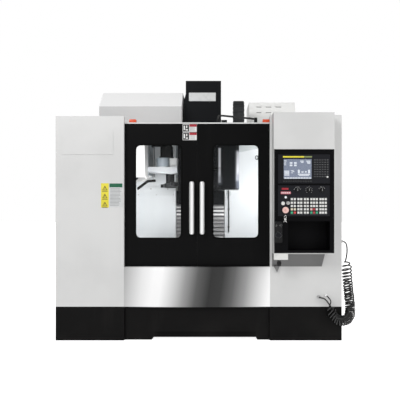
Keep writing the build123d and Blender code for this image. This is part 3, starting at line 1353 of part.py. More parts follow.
def coolant_pump():
    """Immersed pump: motor with a fan cap on a round flange and an outlet elbow."""
    x, y, z = TANK_X[1] - 160, TANK_Y[0] + 160, TANK_TOP + 6
    pump = rod("z", (x, y, z), 14, 190) + rod(
        "z", (x, y, z + 14), 190, 140,
    ) + rod("z", (x, y, z + 204), 46, 156)
    return pump + rod("x", (x - 150, y, z + 50), 150, 42) + rod("z", (x - 150, y, z + 29), 120, 42)


CHAIN_X = (344.0, 459.0)
CHAIN_FRONT = 275.0
CHAIN_THICKNESS = 44.0
CHAIN_BEND = 62.0
CHAIN_TOP = 2334.0
CHAIN_LINK = 56.0


def drag_chain():
    """Cable drag chain beside the column: two runs of links joined by a half round at the top."""
    x = CHAIN_X
    centre_y = CHAIN_FRONT + CHAIN_THICKNESS + CHAIN_BEND
    centre_z = CHAIN_TOP - CHAIN_THICKNESS - CHAIN_BEND
    outer, inner = CHAIN_BEND + CHAIN_THICKNESS, CHAIN_BEND
    half = span(x, (centre_y - outer, centre_y + outer), (centre_z, CHAIN_TOP))
    bend = rod("x", (x[0], centre_y, centre_z), x[1] - x[0], 2 * outer) - rod(
        "x", (x[0] - 1, centre_y, centre_z), x[1] - x[0] + 2, 2 * inner,
    )
    chain = bend & half
    for front, length in ((CHAIN_FRONT, 9), (centre_y + inner, 7)):
        run = span(x, (front, front + CHAIN_THICKNESS), (centre_z - length * CHAIN_LINK, centre_z))
        for k in range(length):
            z = centre_z - (k + 0.5) * CHAIN_LINK
            for y in (front, front + CHAIN_THICKNESS):
                run -= span((x[0] - 1, x[1] + 1), (y - 6, y + 6), (z - 8, z + 8))
        chain += run
    foot_z = centre_z - 7 * CHAIN_LINK
    foot_start = CENTRE_X + column_half(foot_z - 60) + 0.2
    foot = span((foot_start, x[1]), (centre_y + inner, centre_y + outer), (foot_z - 60, foot_z))
    return chain + foot


def column_half(z):
    """Half the width of the tapered column at a height above its straight foot."""
    share = (z - COLUMN_SHOULDER) / (COLUMN_TOP - COLUMN_SHOULDER)
    return (COLUMN_WIDTH + (COLUMN_TOP_WIDTH - COLUMN_WIDTH) * share) / 2


# Curly air hose: one fat tube for the coil, a plain tube at each end
HOSE_DIAMETER = 12.0
CURL_DIAMETER = 96.0
FITTING_DIAMETER = 22.0
FITTING_LENGTH = 24.0
PORT = (RIGHT_EDGE, -848.0, 864.0)
OUTLET = (1051.0, FRONT_Y, 380.0)
COIL_ROUTE = (
    (
        1308.0, -850.0, 690.0,
    ), (1312.0, -852.0, 560.0), (1326.0, -858.0, 400.0), (1338.0, -872.0, 290.0),
    (
        1318.0, -936.0, 206.0,
    ), (1250.0, -978.0, 180.0), (1170.0, -974.0, 204.0), (1128.0, -966.0, 300.0),
)
PORT_ROUTE = (
    (RIGHT_EDGE + FITTING_LENGTH, -848.0, 864.0), (1300.0, -848.0, 859.0), (1313.0, -848.0, 822.0),
    (1314.0, -849.0, 758.0), (1308.0, -850.0, 690.0),
)
OUTLET_ROUTE = (
    (
        1128.0, -966.0, 300.0,
    ), (1122.0, -965.0, 340.0), (1096.0, -964.0, 374.0), (1062.0, -962.0, 382.0),
    (1051.0, FRONT_Y - FITTING_LENGTH, 380.0),
)


def tube(points, diameter):
    """Tube along straight runs joined by arcs as large as the runs allow."""
    vectors = [Vector(*p) for p in points]
    radii = []
    for before, here, after in zip(vectors, vectors[1:], vectors[2:]):
        turn = (here - before).get_angle(after - here)
        run = min((here - before).length, (after - here).length)
        radii.append(0.45 * run / math.tan(math.radians(turn / 2)))
    path = FilletPolyline(*points, radius=radii)
    start = Plane(origin=points[0], z_dir=(vectors[1] - vectors[0]).normalized())
    body = sweep(start * Circle(diameter / 2), path=path)
    share = body.volume / (math.pi * diameter ** 2 / 4 * path.length)
    print(
        "tube", diameter, "radii", [round(r) for r in radii], "length", round(path.length),
        "share", round(share, 4),
    )
    return body


def hose_coil():
    """Curled stretch of the hose as one solid of its outer shape."""
    return tube(COIL_ROUTE, CURL_DIAMETER)


def hose_ends():
    """Plain hose from the wall port to the coil, and from the coil to the outlet on the cabinet."""
    return Compound([tube(PORT_ROUTE, HOSE_DIAMETER), tube(OUTLET_ROUTE, HOSE_DIAMETER)])


def hose_fittings():
    """Two screwed hose fittings."""
    port = rod("x", PORT, FITTING_LENGTH, FITTING_DIAMETER) + rod("x", PORT, 8, 34)
    start = (OUTLET[0], FRONT_Y - FITTING_LENGTH, OUTLET[2])
    outlet = rod("y", start, FITTING_LENGTH, FITTING_DIAMETER) + rod(
        "y", (start[0], FRONT_Y - 8, start[2]), 8, 34,
    )
    return Compound([port, outlet])


def build_parts():
    """Every piece of the machine under its own name."""
    return {
        "bed": bed(),
        "column": column(),
        "leveling_feet": leveling_feet(),
        "servo_motors": servo_motors(),
        "base_skirts": base_skirts(),
        "left_face": left_face(),
        "right_face": right_face(),
        "side_walls": side_walls(),
        "rear_panels": rear_panels(),
        "chip_pans": chip_pans(),
        "apron": apron(),
        "door_tracks": door_tracks(),
        "header_caps": header_caps(),
        "control_box": Compound([control_box(), panel_underside()]),
        "panel_frame": panel_frame(),
        "display_unit": display_unit(),
        "key_panel": key_panel(),
        "panel_keys": panel_keys(),
        "storage_pocket": storage_pocket(),
        "pendant_body": pendant_body(),
        "service_socket": service_socket(),
        "electrical_cabinet": electrical_cabinet(),
        "coolant_unit": Compound([coolant_tank(), coolant_pump()]),
        "drag_chain": drag_chain(),
        "changer_frame": changer_frame(),
        "changer_gearbox": changer_gearbox(),
        "changer_motors": changer_motors(),
        "magazine_hood": magazine_hood(),
        "z_cover": z_cover(),
        "hose_coil": hose_coil(),
        "hose_ends": hose_ends(),
        "hose_fittings": hose_fittings(),
        "door_left": door_leaf(-1),
        "door_left_pane": door_pane(-1),
        "door_left_handle": door_handle(-1),
        "door_right": door_leaf(1),
        "door_right_pane": door_pane(1),
        "door_right_handle": door_handle(1),
        "saddle": saddle(),
        "x_servo": x_servo(),
        "table": table(),
        "table_covers": table_covers(),
        "y_screw": y_screw(),
        "x_screw": x_screw(),
        "z_screw": z_screw(),
        "spindle_head": spindle_head(),
        "head_cover": Compound([head_cover(), z_apron()]),
        "spindle": spindle(),
        "magazine_disc": magazine_disc(),
        "tool_pots": tool_pots(),
        "change_pot": pot(0),
        "arm_shaft": arm_shaft(),
        "change_arm": change_arm(),
        "stop_button": stop_button(),
        "mode_knob": rotary_knob(KNOB_XS[0]),
        "feed_knob": rotary_knob(KNOB_XS[1]),
        "rapid_knob": rotary_knob(KNOB_XS[2]),
        "key_switch": key_switch(),
        "pendant_wheel": pendant_wheel(),
        "electrical_door": electrical_door(),
    }


def main():
    """Write one STEP file for each piece."""
    os.makedirs("parts", exist_ok=True)
    for name, shape in build_parts().items():
        export_step(shape, f"parts/{name}.step")


main()
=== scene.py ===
"""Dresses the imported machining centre: finishes for every solid, and the small pieces a maker adds."""

import logging
import math
import random
from dataclasses import dataclass
from enum import Enum
from itertools import product
from typing import Callable, Sequence

import bmesh
import bpy
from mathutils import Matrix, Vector

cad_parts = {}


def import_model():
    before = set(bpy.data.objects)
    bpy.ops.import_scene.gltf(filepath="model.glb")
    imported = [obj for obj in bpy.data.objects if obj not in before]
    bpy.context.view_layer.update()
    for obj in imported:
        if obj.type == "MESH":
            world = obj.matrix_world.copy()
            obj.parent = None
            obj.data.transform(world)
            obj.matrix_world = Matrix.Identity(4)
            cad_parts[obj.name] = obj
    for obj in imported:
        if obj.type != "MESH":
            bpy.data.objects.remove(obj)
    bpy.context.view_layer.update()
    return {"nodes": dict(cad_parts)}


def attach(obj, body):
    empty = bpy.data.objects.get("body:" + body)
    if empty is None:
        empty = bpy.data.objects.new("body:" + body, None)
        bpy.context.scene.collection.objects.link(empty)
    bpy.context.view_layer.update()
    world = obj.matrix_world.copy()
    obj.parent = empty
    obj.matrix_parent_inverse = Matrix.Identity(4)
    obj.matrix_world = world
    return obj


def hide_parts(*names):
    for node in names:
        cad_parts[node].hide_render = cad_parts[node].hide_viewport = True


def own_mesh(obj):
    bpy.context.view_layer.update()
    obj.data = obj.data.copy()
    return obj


LOG = logging.getLogger("machining_centre")
Point = tuple[float, float, float]
Span = tuple[float, float]
Spans = tuple[float, float, float, float]
Colour = tuple[float, float, float]

MILLIMETRE = 0.001
# How far a piece reaches into what it lies on, and how thick a printed mark is, in metres.
SUNK = 0.0004
PRINT = 0.0003
# A rounded edge's steps and curve, and the largest share of a plate's thickness that it takes.
BEVEL_STEPS = 2
BEVEL_CURVE = 0.6
BEVEL_SHARE = 0.45
# The share of a gasket's thickness that its chamfer takes.
LIP_SHARE = 0.35
# Edges that turn by more degrees than this are shaded sharp.
SHARP_ANGLE = 38.0


class Side(Enum):
    """The way that a face looks, or that a turned piece points, as a direction."""

    FRONT = (0.0, -1.0, 0.0)
    BACK = (0.0, 1.0, 0.0)
    LEFT = (-1.0, 0.0, 0.0)
    RIGHT = (1.0, 0.0, 0.0)
    TOP = (0.0, 0.0, 1.0)
    BOTTOM = (0.0, 0.0, -1.0)


# Shader maths

def operator(operation: str) -> Callable[["Value", object], "Value"]:
    """A method that joins a value and another one by a Math operation."""

    def join(value: "Value", other: object) -> "Value":
        """The operation's result."""
        return value.math(operation, value, other)

    return join


class Value:
    """A shader socket, or a number, that takes part in Python arithmetic."""

    def __init__(self, graph: "Graph", socket: object) -> None:
        """Keeps the graph that new nodes are added to, and an output socket or a plain number."""
        self.graph = graph
        self.socket = socket

    def math(self, operation: str, *inputs: object) -> "Value":
        """Result of one Math node with these inputs."""
        return self.graph.add("ShaderNodeMath", {"operation": operation}, dict(enumerate(inputs)))

    __add__ = __radd__ = operator("ADD")
    __mul__ = __rmul__ = operator("MULTIPLY")
    __sub__ = operator("SUBTRACT")
    __truediv__ = operator("DIVIDE")
    __gt__ = operator("GREATER_THAN")
    __lt__ = operator("LESS_THAN")
    smaller = operator("MINIMUM")
    larger = operator("MAXIMUM")

    def __rsub__(self, other: object) -> "Value":
        """Difference from a number."""
        return self.math("SUBTRACT", other, self)

    def ramp(self, low: float, high: float) -> "Value":
        """A share that rises smoothly from 0 at low to 1 at high."""
        inputs = {"Value": self, "From Min": low, "From Max": high}
        return self.graph.add("ShaderNodeMapRange", {"interpolation_type": "SMOOTHSTEP"}, inputs)


class Graph:
    """The node tree of a material or a world, with a method for each step that the finishes share."""

    def __init__(self, owner: bpy.types.Material | bpy.types.World, shader: str = "Principled BSDF") -> None:
        """Takes an empty material or world.

        Args:
            owner: The material or world.
            shader: The name of its shader node.
        """
        owner.use_nodes = True
        self.owner = owner
        self.tree = owner.node_tree
        self.shader = self.tree.nodes[shader]
        self._place: Value | None = None

    def node(self, kind: str, settings: dict, inputs: dict) -> bpy.types.Node:
        """Adds a node, sets it, then fills or links its sockets.

        Args:
            kind: The node's type.
            settings: Attribute to value, set first.
            inputs: Socket name or number to a value, a Value or a socket.

        Returns:
            The node.
        """
        node = self.tree.nodes.new(kind)
        for key, value in settings.items():
            if key == "stops":
                self._stops(node.color_ramp, value)
            else:
                setattr(node, key, value)
        for key, value in inputs.items():
            self.feed(node.inputs[key], value)
        return node

    def add(self, kind: str, settings: dict, inputs: dict, output: int | str = 0) -> Value:
        """Adds a node and returns the output wanted."""
        return Value(self, self.node(kind, settings, inputs).outputs[output])

    def feed(self, socket: bpy.types.NodeSocket, value: object) -> None:
        """Links or sets one socket.

        Args:
            socket: The input socket.
            value: A Value, a socket, a colour or a number.
        """
        if isinstance(value, Value):
            value = value.socket
        if isinstance(value, bpy.types.NodeSocket):
            self.tree.links.new(value, socket)
        elif isinstance(value, (tuple, list)) and socket.type == "RGBA" and len(value) == 3:
            socket.default_value = (*value, 1.0)
        else:
            socket.default_value = value

    @staticmethod
    def _stops(ramp: bpy.types.ColorRamp, stops: Sequence[tuple[float, Colour]]) -> None:
        """Sets a colour ramp's stops, each a place and a colour.

        Args:
            ramp: The ramp.
            stops: The stops.
        """
        while len(ramp.elements) < len(stops):
            ramp.elements.new(0.5)
        for element, (place, colour) in zip(ramp.elements, stops):
            element.position = place
            element.color = (*colour, 1.0)

    def place(self) -> Value:
        """The point on the solid, in metres.

        Returns:
            The point, as a vector.
        """
        if self._place is None:
            self._place = self.add("ShaderNodeTexCoord", {}, {}, "Object")
        return self._place

    def axis(self, index: int) -> Value:
        """One coordinate of the point on the solid."""
        return self.add("ShaderNodeSeparateXYZ", {}, {0: self.place()}, index)

    def noise(self, scale: float, detail: float = 3.0, stretch: Point = (1, 1, 1)) -> Value:
        """Cloudy noise from 0 to 1, of so many features a metre, stretched along each axis."""
        where = self.add("ShaderNodeVectorMath", {"operation": "MULTIPLY"}, {0: self.place(), 1: stretch})
        return self.add("ShaderNodeTexNoise", {}, {"Vector": where, "Scale": scale, "Detail": detail})

    def mix(self, low: object, high: object, share: object) -> Value:
        """Blends two colours.

        Args:
            low: Colour at share 0.
            high: Colour at share 1.
            share: The share.

        Returns:
            The blend.
        """
        node = self.node("ShaderNodeMix", {"data_type": "RGBA"}, {0: share})
        self.feed(node.inputs[6], low)
        self.feed(node.inputs[7], high)
        return Value(self, node.outputs[2])

    def rays(self, *kinds: str) -> Value:
        """Tells rays of some kinds from the rest.

        Args:
            kinds: Their names in the Light Path node.

        Returns:
            1 on those rays.
        """
        outputs = self.node("ShaderNodeLightPath", {}, {}).outputs
        share, *others = (Value(self, outputs[f"Is {kind} Ray"]) for kind in kinds)
        for other in others:
            share = share.larger(other)
        return share

    def inside(self, index: int, span: Span) -> Value:
        """1 where one coordinate lies in a span."""
        value = self.axis(index)
        return (value > span[0]) * (value < span[1])

    def zoned(self, shade: object, zones: Sequence["Zone"]) -> object:
        """Lays the zones' colours over a shade, in order.

        Args:
            shade: The colour under them.
            zones: The zones.

        Returns:
            The mixed colour.
        """
        for zone in zones:
            shade = self.mix(shade, zone.colour, zone.share(self))
        return shade

    def bump(self, height: object, strength: float, distance: float = 0.001) -> None:
        """Feeds a height of 0 to 1 to the shader's normal: how much shows, and its size in metres."""
        node = self.node("ShaderNodeBump", {}, {"Strength": strength, "Distance": distance, "Height": height})
        self.tree.links.new(node.outputs["Normal"], self.shader.inputs["Normal"])

    def set(self, **sockets: object) -> None:
        """Sets the shader's sockets, named with _ for a space."""
        for name, value in sockets.items():
            self.feed(self.shader.inputs[name.replace("_", " ")], value)


# Finishes

@dataclass(frozen=True)
class Zone:
    """A part of a solid with its own colour or with painted light or shade: spans along some axes, with soft
    edges.
    """

    colour: Colour
    x: Span | None = None
    y: Span | None = None
    z: Span | None = None
    soft: float = 0.0

    def share(self, graph: "Graph") -> Value:
        """How much of the zone's colour shows at each point.

        Args:
            graph: The graph to add to.

        Returns:
            1 inside and 0 outside.
        """
        share = None
        for index, span in enumerate((self.x, self.y, self.z)):
            if span is None:
                continue
            near = graph.axis(index)
            if self.soft:
                part = near.ramp(span[0] - self.soft, span[0] + self.soft)
                part = part * (1 - near.ramp(span[1] - self.soft, span[1] + self.soft))
            else:
                part = graph.inside(index, span)
            share = part if share is None else share * part
        return share


@dataclass(frozen=True)
class Finish:
    """What every finish has: a name and a colour, and the material made once."""

    name: str
    colour: Colour

    def toned(self, share: float) -> Colour:
        """The colour times a share."""
        return tuple(part * share for part in self.colour)

    def draw(self, graph: Graph) -> None:
        """Builds the nodes. Each finish has its own."""
        graph.set(Base_Color=self.colour)

    def material(self) -> bpy.types.Material:
        """The material, made on first use.

        Returns:
            The material.
        """
        known = bpy.data.materials.get(self.name)
        if known is not None:
            return known
        graph = Graph(bpy.data.materials.new(self.name))
        self.draw(graph)
        return graph.owner


@dataclass(frozen=True)
class PaintedSheet(Finish):
    """Baked paint on sheet steel: fine orange peel, faint handling marks, dust near the floor."""

    gloss: float = 0.36
    peel: float = 0.12
    soil: float = 0.05
    shine: float = 0.5
    coat: float = 0.12
    dust: Colour = (0.42, 0.40, 0.37)
    zones: tuple[Zone, ...] = ()

    def draw(self, graph: Graph) -> None:
        """Builds paint with marks and dust.

        Args:
            graph: The graph to fill.
        """
        cloud = graph.noise(2.3, 4.0)
        smear = graph.noise(9.0, 5.0, (1.0, 1.0, 0.25))
        low = 1 - graph.axis(2).ramp(0.0, 0.35)
        worn = (smear.ramp(0.52, 0.78) * 0.6 + low * cloud.ramp(0.4, 0.7)) * self.soil
        shade = graph.mix(self.colour, self.toned(0.93), cloud.ramp(0.35, 0.75))
        shade = graph.zoned(shade, self.zones)
        graph.set(Base_Color=graph.mix(shade, self.dust, worn), Roughness=smear * 0.12 + self.gloss - 0.05)
        graph.set(Specular_IOR_Level=self.shine, Coat_Weight=self.coat, Coat_Roughness=0.2)
        graph.bump(graph.noise(520.0, 2.0), self.peel, 0.0004)


@dataclass(frozen=True)
class Stainless(Finish):
    """Rolled or brushed steel: lines along one axis, soft dents in thin sheet, painted reflection bands."""

    rough: float = 0.24
    grain: Point = (1.0, 30.0, 30.0)
    waves: float = 0.0
    stain: float = 0.12
    metal: float = 1.0
    shine: float = 0.5
    # Painted reflection: places along X with the colour's share there, tilted by slant about height level.
    painted_reflection_tones: tuple[tuple[float, float], ...] = ()
    slant: float = 0.0
    level: float = 0.0
    zones: tuple[Zone, ...] = ()

    def draw(self, graph: Graph) -> None:
        """Builds brushed metal.

        Args:
            graph: The graph to fill.
        """
        lines = graph.noise(38.0, 5.0, self.grain)
        cloud = graph.noise(3.1, 4.0)
        worn = lines.ramp(0.3, 0.8) * 0.35 + cloud.ramp(0.5, 0.8) * self.stain
        shade = graph.mix(self.colour, self.toned(0.72), worn)
        # Painted reflection: the colour ramps through light and dark bands along X, slanted with height.
        along = graph.axis(0)
        if self.slant:
            along = along + (graph.axis(2) - self.level) * -self.slant
        for (x0, tone0), (x1, tone1) in zip(self.painted_reflection_tones, self.painted_reflection_tones[1:]):
            share = ((along - x0) / (x1 - x0)).larger(0.0).smaller(1.0)
            reflection_ramp = graph.mix(self.toned(tone0), self.toned(tone1), share)
            shade = graph.mix(shade, reflection_ramp, along > x0)
        graph.set(
            Base_Color=graph.zoned(shade, self.zones), Metallic=self.metal, Specular_IOR_Level=self.shine,
            Roughness=lines * 0.16 + self.rough - 0.05,
        )
        height = lines * 0.25
        if self.waves:
            height = height + graph.noise(2.2, 1.0, (1.0, 1.0, 0.5)) * self.waves
        graph.bump(height, 0.35, 0.0006 if not self.waves else 0.004)


@dataclass(frozen=True)
class Casting(Finish):
    """Painted cast iron: filled and sprayed, with a soft ripple and darker oily patches here and there."""

    gloss: float = 0.42
    shine: float = 0.4
    zones: tuple[Zone, ...] = ()

    def draw(self, graph: Graph) -> None:
        """Builds sprayed casting.

        Args:
            graph: The graph to fill.
        """
        ripple = graph.noise(60.0, 4.0)
        cloud = graph.noise(4.0, 4.0)
        shade = graph.mix(self.colour, self.toned(0.7), cloud.ramp(0.5, 0.85) * 0.5)
        graph.set(
            Base_Color=graph.zoned(shade, self.zones), Roughness=cloud * 0.25 + self.gloss - 0.1,
            Specular_IOR_Level=self.shine,
        )
        graph.bump(ripple, 0.25, 0.0015)


@dataclass(frozen=True)
class Rubber(Finish):
    """Moulded rubber or soft plastic: matt, with a fine pitted skin and pale dust."""

    rough: float = 0.55
    dusty: float = 0.1

    def draw(self, graph: Graph) -> None:
        """Builds matt rubber.

        Args:
            graph: The graph to fill.
        """
        cloud = graph.noise(14.0, 4.0)
        graph.set(
            Base_Color=graph.mix(self.colour, (0.35, 0.34, 0.33), cloud.ramp(0.5, 0.9) * self.dusty),
            Roughness=cloud * 0.2 + self.rough - 0.1,
        )
        graph.bump(graph.noise(900.0, 2.0), 0.2, 0.0003)


@dataclass(frozen=True)
class Plastic(Finish):
    """Moulded plastic with a fine spark-eroded texture."""

    rough: float = 0.42
    pits: float = 0.15
    shine: float = 0.4
    zones: tuple[Zone, ...] = ()

    def draw(self, graph: Graph) -> None:
        """Builds moulded plastic.

        Args:
            graph: The graph to fill.
        """
        cloud = graph.noise(22.0, 3.0)
        shade = graph.mix(self.colour, self.toned(0.85), cloud.ramp(0.4, 0.8))
        graph.set(
            Base_Color=graph.zoned(shade, self.zones), Roughness=cloud * 0.15 + self.rough - 0.07,
            Specular_IOR_Level=self.shine,
        )
        graph.bump(graph.noise(1400.0, 1.0), self.pits, 0.0002)


@dataclass(frozen=True)
class Pane(Finish):
    """Laminated window: clear, slightly grey, with faint wiped streaks."""

    clear: float = 0.96

    def draw(self, graph: Graph) -> None:
        """Builds a thin pane that lets light through.

        Args:
            graph: The graph to fill.
        """
        streak = graph.noise(6.0, 5.0, (1.0, 1.0, 0.2))
        graph.set(Base_Color=self.colour, Roughness=0.05, Specular_IOR_Level=0.3)
        graph.set(Alpha=1 - (streak.ramp(0.55, 0.9) * 0.05 + self.clear))
        graph.owner.surface_render_method = "BLENDED"


@dataclass(frozen=True)
class Glow(Finish):
    """A lit surface: a lamp's tube or a screen's field."""

    strength: float = 1.0

    def draw(self, graph: Graph) -> None:
        """Builds a lit face.

        Args:
            graph: The graph to fill.
        """
        cloud = graph.noise(30.0, 2.0)
        graph.set(
            Base_Color=self.toned(0.4),
            Roughness=0.3,
            Emission_Color=graph.mix(self.colour, self.toned(0.85), cloud),
            Emission_Strength=self.strength,
        )


# Mesh tools

def circle(
    u: float, v: float, radius: float, count: int, start: float = 90.0, step: float | None = None,
) -> list[Span]:
    """Points round a circle.

    Args:
        u: Centre across.
        v: Centre up.
        radius: Its radius.
        count: How many points.
        start: Degrees from the top to the first, by the clock.
        step: Degrees from one to the next, by the clock, or None for the whole circle the other way.

    Returns:
        The points.
    """
    step = -360.0 / count if step is None else step
    angles = [math.radians(start + step * k) for k in range(count)]
    return [(u + radius * math.sin(angle), v + radius * math.cos(angle)) for angle in angles]


def rounded(u: Span, v: Span, radius: float, steps: int = 6) -> list[Span]:
    """Outline of a rectangle with round corners.

    Args:
        u: Span across.
        v: Span up.
        radius: Corner radius.
        steps: Points per corner, less one.

    Returns:
        The outline's points.
    """
    centres = (
        (u[1] - radius, v[1] - radius), (u[0] + radius, v[1] - radius),
        (u[0] + radius, v[0] + radius), (u[1] - radius, v[0] + radius),
    )
    outline = []
    for quarter, (cu, cv) in enumerate(centres):
        outline += circle(cu, cv, radius, steps + 1, 90.0 - 90.0 * quarter, -90.0 / steps)
    return outline


@dataclass(frozen=True)
class Face:
    """A plane square to one axis, that flat pieces stand on."""

    side: Side
    at: float

    def point(self, u: float, v: float, out: float = 0.0) -> Vector:
        """A point on or over the plane.

        Args:
            u: Place across it: X, or Y on the left and right.
            v: Place up it: Z, or Y on the top.
            out: Height over it.

        Returns:
            The point.
        """
        if self.side in (Side.FRONT, Side.BACK):
            base = Vector((u, self.at, v))
        elif self.side in (Side.LEFT, Side.RIGHT):
            base = Vector((self.at, u, v))
        else:
            base = Vector((u, v, self.at))
        return base + Vector(self.side.value) * out

    def over(self, height: float) -> "Face":
        """The plane that lies this far over it."""
        return Face(self.side, self.at + sum(self.side.value) * height)


class Batch:
    """Collects small solids of one finish that ride on one body into one mesh. Its steps chain."""

    def __init__(self, name: str, finish: Finish, body: str = "machine") -> None:
        """Starts an empty mesh.

        Args:
            name: The piece's name.
            finish: Its finish.
            body: The CAD body that it rides on.
        """
        self.name = name
        self.finish = finish
        self.body = body
        self.mesh = bmesh.new()

    def prism(self, outline: Sequence[Point], depth: Point, bevel: float = 0.001) -> "Batch":
        """Extrudes a flat outline. Four corners are rounded on every edge, others on the far ones.

        Args:
            outline: Corners in order, as points or vectors.
            depth: The extrusion, as a point or vector.
            bevel: Edge rounding.

        Returns:
            This batch.
        """
        near = [self.mesh.verts.new(point) for point in outline]
        far = [self.mesh.verts.new(Vector(point) + Vector(depth)) for point in outline]
        top = self.mesh.faces.new(far)
        faces = [top, self.mesh.faces.new(near[::-1])]
        count = len(near)
        for k in range(count):
            faces.append(self.mesh.faces.new((near[k], near[(k + 1) % count], far[(k + 1) % count], far[k])))
        bmesh.ops.recalc_face_normals(self.mesh, faces=faces)
        if bevel > 0.0:
            edges = {edge for face in faces for edge in face.edges} if count == 4 else top.edges
            bmesh.ops.bevel(
                self.mesh, geom=list(edges), offset=bevel, segments=BEVEL_STEPS, profile=BEVEL_CURVE,
                affect="EDGES", clamp_overlap=True,
            )
        return self

    def block(self, x: Span, y: Span, z: Span, bevel: float = 0.001) -> "Batch":
        """Adds a block with rounded edges, by its span along each axis."""
        corners = ((x[0], y[0]), (x[1], y[0]), (x[1], y[1]), (x[0], y[1]))
        return self.prism([(a, b, z[0]) for a, b in corners], (0.0, 0.0, z[1] - z[0]), bevel)

    def _stand(self, face: Face, corners: Sequence[Span], thick: float, bevel: float, sunk: float) -> None:
        """Stands an outline on a face, and lets it reach a little into it."""
        outline = [face.point(u, v, -sunk) for u, v in corners]
        self.prism(outline, Vector(face.side.value) * (thick + sunk), min(bevel, thick * BEVEL_SHARE))

    def plate(
        self, face: Face, thick: float, *spans: Spans, radius: float = 0.0, bevel: float = 0.0005,
    ) -> "Batch":
        """Adds equally thick plates on a face.

        Args:
            face: The face.
            thick: How far they stand out.
            spans: Left, right, lower and upper edge of each.
            radius: Corner radius.
            bevel: Edge rounding.

        Returns:
            This batch.
        """
        for left, right, low, high in spans:
            square = rounded((left, right), (low, high), radius, 6 if radius else 1)
            self._stand(face, square if radius else square[::2], thick, bevel, SUNK)
        return self

    def disc(
        self, face: Face, radius: float, thick: float, *spots: Span, sides: int = 28, bevel: float = 0.0006,
        sunk: float = SUNK,
    ) -> "Batch":
        """Adds equal round bosses, buttons or bolt heads on a face.

        Args:
            face: The face.
            radius: Their radius.
            thick: How far they stand out.
            spots: Centre of each, across and up.
            sides: Corners of the circle.
            bevel: Edge rounding.
            sunk: How far they reach into the face.

        Returns:
            This batch.
        """
        for u, v in spots:
            self._stand(face, circle(u, v, radius, sides), thick, bevel, sunk)
        return self

    def _skin(self, rings: Sequence[Sequence[Vector]], closed: bool = False) -> "Batch":
        """Joins rings of points into a skin.

        Args:
            rings: The rings, of as many points each.
            closed: Whether the last joins the first. Otherwise both ends are capped.

        Returns:
            This batch.
        """
        loops = [[self.mesh.verts.new(point) for point in ring] for ring in rings]
        for near, far in zip(loops, loops[1:] + loops[:1] if closed else loops[1:]):
            for k, corner in enumerate(near):
                after = (k + 1) % len(near)
                self.mesh.faces.new((corner, near[after], far[after], far[k]))
        if not closed:
            self.mesh.faces.new(loops[0][::-1])
            self.mesh.faces.new(loops[-1])
        return self

    def turned(self, start: Point, axis: Side | Point, profile: Sequence[Span], sides: int) -> "Batch":
        """Adds a turned piece.

        Args:
            start: Where its axis starts.
            axis: Its direction.
            profile: Distance along the axis and radius at each step.
            sides: Corners of the circle.

        Returns:
            This batch.
        """
        way = Vector(axis.value if isinstance(axis, Side) else axis)
        spin = Vector(Side.TOP.value).rotation_difference(way).to_matrix()
        return self._skin([
            [Vector(start) + spin @ Vector((a, b, along)) for a, b in circle(0.0, 0.0, radius, sides)]
            for along, radius in profile
        ])

    def frame(self, face: Face, spans: Spans, radius: float, width: float, thick: float) -> "Batch":
        """Adds a rounded strip round an opening, such as a gasket.

        Args:
            face: The face.
            spans: Left, right, lower and upper outer edge.
            radius: Outer corner radius.
            width: Width of the strip.
            thick: How far it stands out.

        Returns:
            This batch.
        """
        left, right, low, high = spans
        lip = min(width, thick) * LIP_SHARE
        rings = []
        for inset, out in (
            (0.0, -SUNK), (0.0, thick - lip), (lip, thick),
            (width - lip, thick), (width, thick - lip), (width, -SUNK),
        ):
            corners = rounded(
                (left + inset, right - inset), (low + inset, high - inset), max(radius - inset, 0.001), 8,
            )
            rings.append([face.point(u, v, out) for u, v in corners])
        return self._skin(rings, closed=True)

    def tube(self, points: Sequence[Point], radius: float, sides: int = 14) -> "Batch":
        """Adds a round bar or pipe along a smooth line.

        Args:
            points: Control points of the line.
            radius: Its radius.
            sides: Corners of its section.

        Returns:
            This batch.
        """
        line = smooth_line(points)
        rings, turn = [], None
        for k, point in enumerate(line):
            ahead = (line[min(k + 1, len(line) - 1)] - line[max(k - 1, 0)]).normalized()
            turn = ahead.orthogonal().normalized() if turn is None else turn
            turn = (turn - ahead * turn.dot(ahead)).normalized()
            cross = ahead.cross(turn)
            rings.append([point + turn * a + cross * b for a, b in circle(0.0, 0.0, radius, sides)])
        return self._skin(rings)

    def place(self) -> bpy.types.Object:
        """Makes the object, gives it its finish and lets it ride.

        Returns:
            The object.
        """
        bmesh.ops.recalc_face_normals(self.mesh, faces=list(self.mesh.faces))
        data = bpy.data.meshes.new(self.name)
        self.mesh.to_mesh(data)
        self.mesh.free()
        piece = bpy.data.objects.new(self.name, data)
        bpy.context.scene.collection.objects.link(piece)
        data.materials.append(self.finish.material())
        data.set_sharp_from_angle(angle=math.radians(SHARP_ANGLE))
        data.polygons.foreach_set("use_smooth", [True] * len(data.polygons))
        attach(piece, self.body)
        LOG.info("%s rides on %s, %d faces", self.name, self.body, len(data.polygons))
        return piece


def nurbs(name: str, points: Sequence[Point], radius: float = 0.0) -> bpy.types.Object:
    """A smooth open curve with the given control points.

    Args:
        name: Its name.
        points: The control points, in metres.
        radius: Its tube's radius, or 0 for a bare line.

    Returns:
        The curve object.
    """
    data = bpy.data.curves.new(name, "CURVE")
    data.dimensions = "3D"
    spline = data.splines.new("NURBS")
    spline.points.add(len(points) - 1)
    for target, point in zip(spline.points, points):
        target.co = (*point, 1.0)
    spline.order_u = 3
    spline.use_endpoint_u = True
    spline.resolution_u = 3
    if radius:
        data.bevel_depth = radius
        data.bevel_resolution = 3
        data.use_fill_caps = True
    curve = bpy.data.objects.new(name, data)
    bpy.context.scene.collection.objects.link(curve)
    return curve


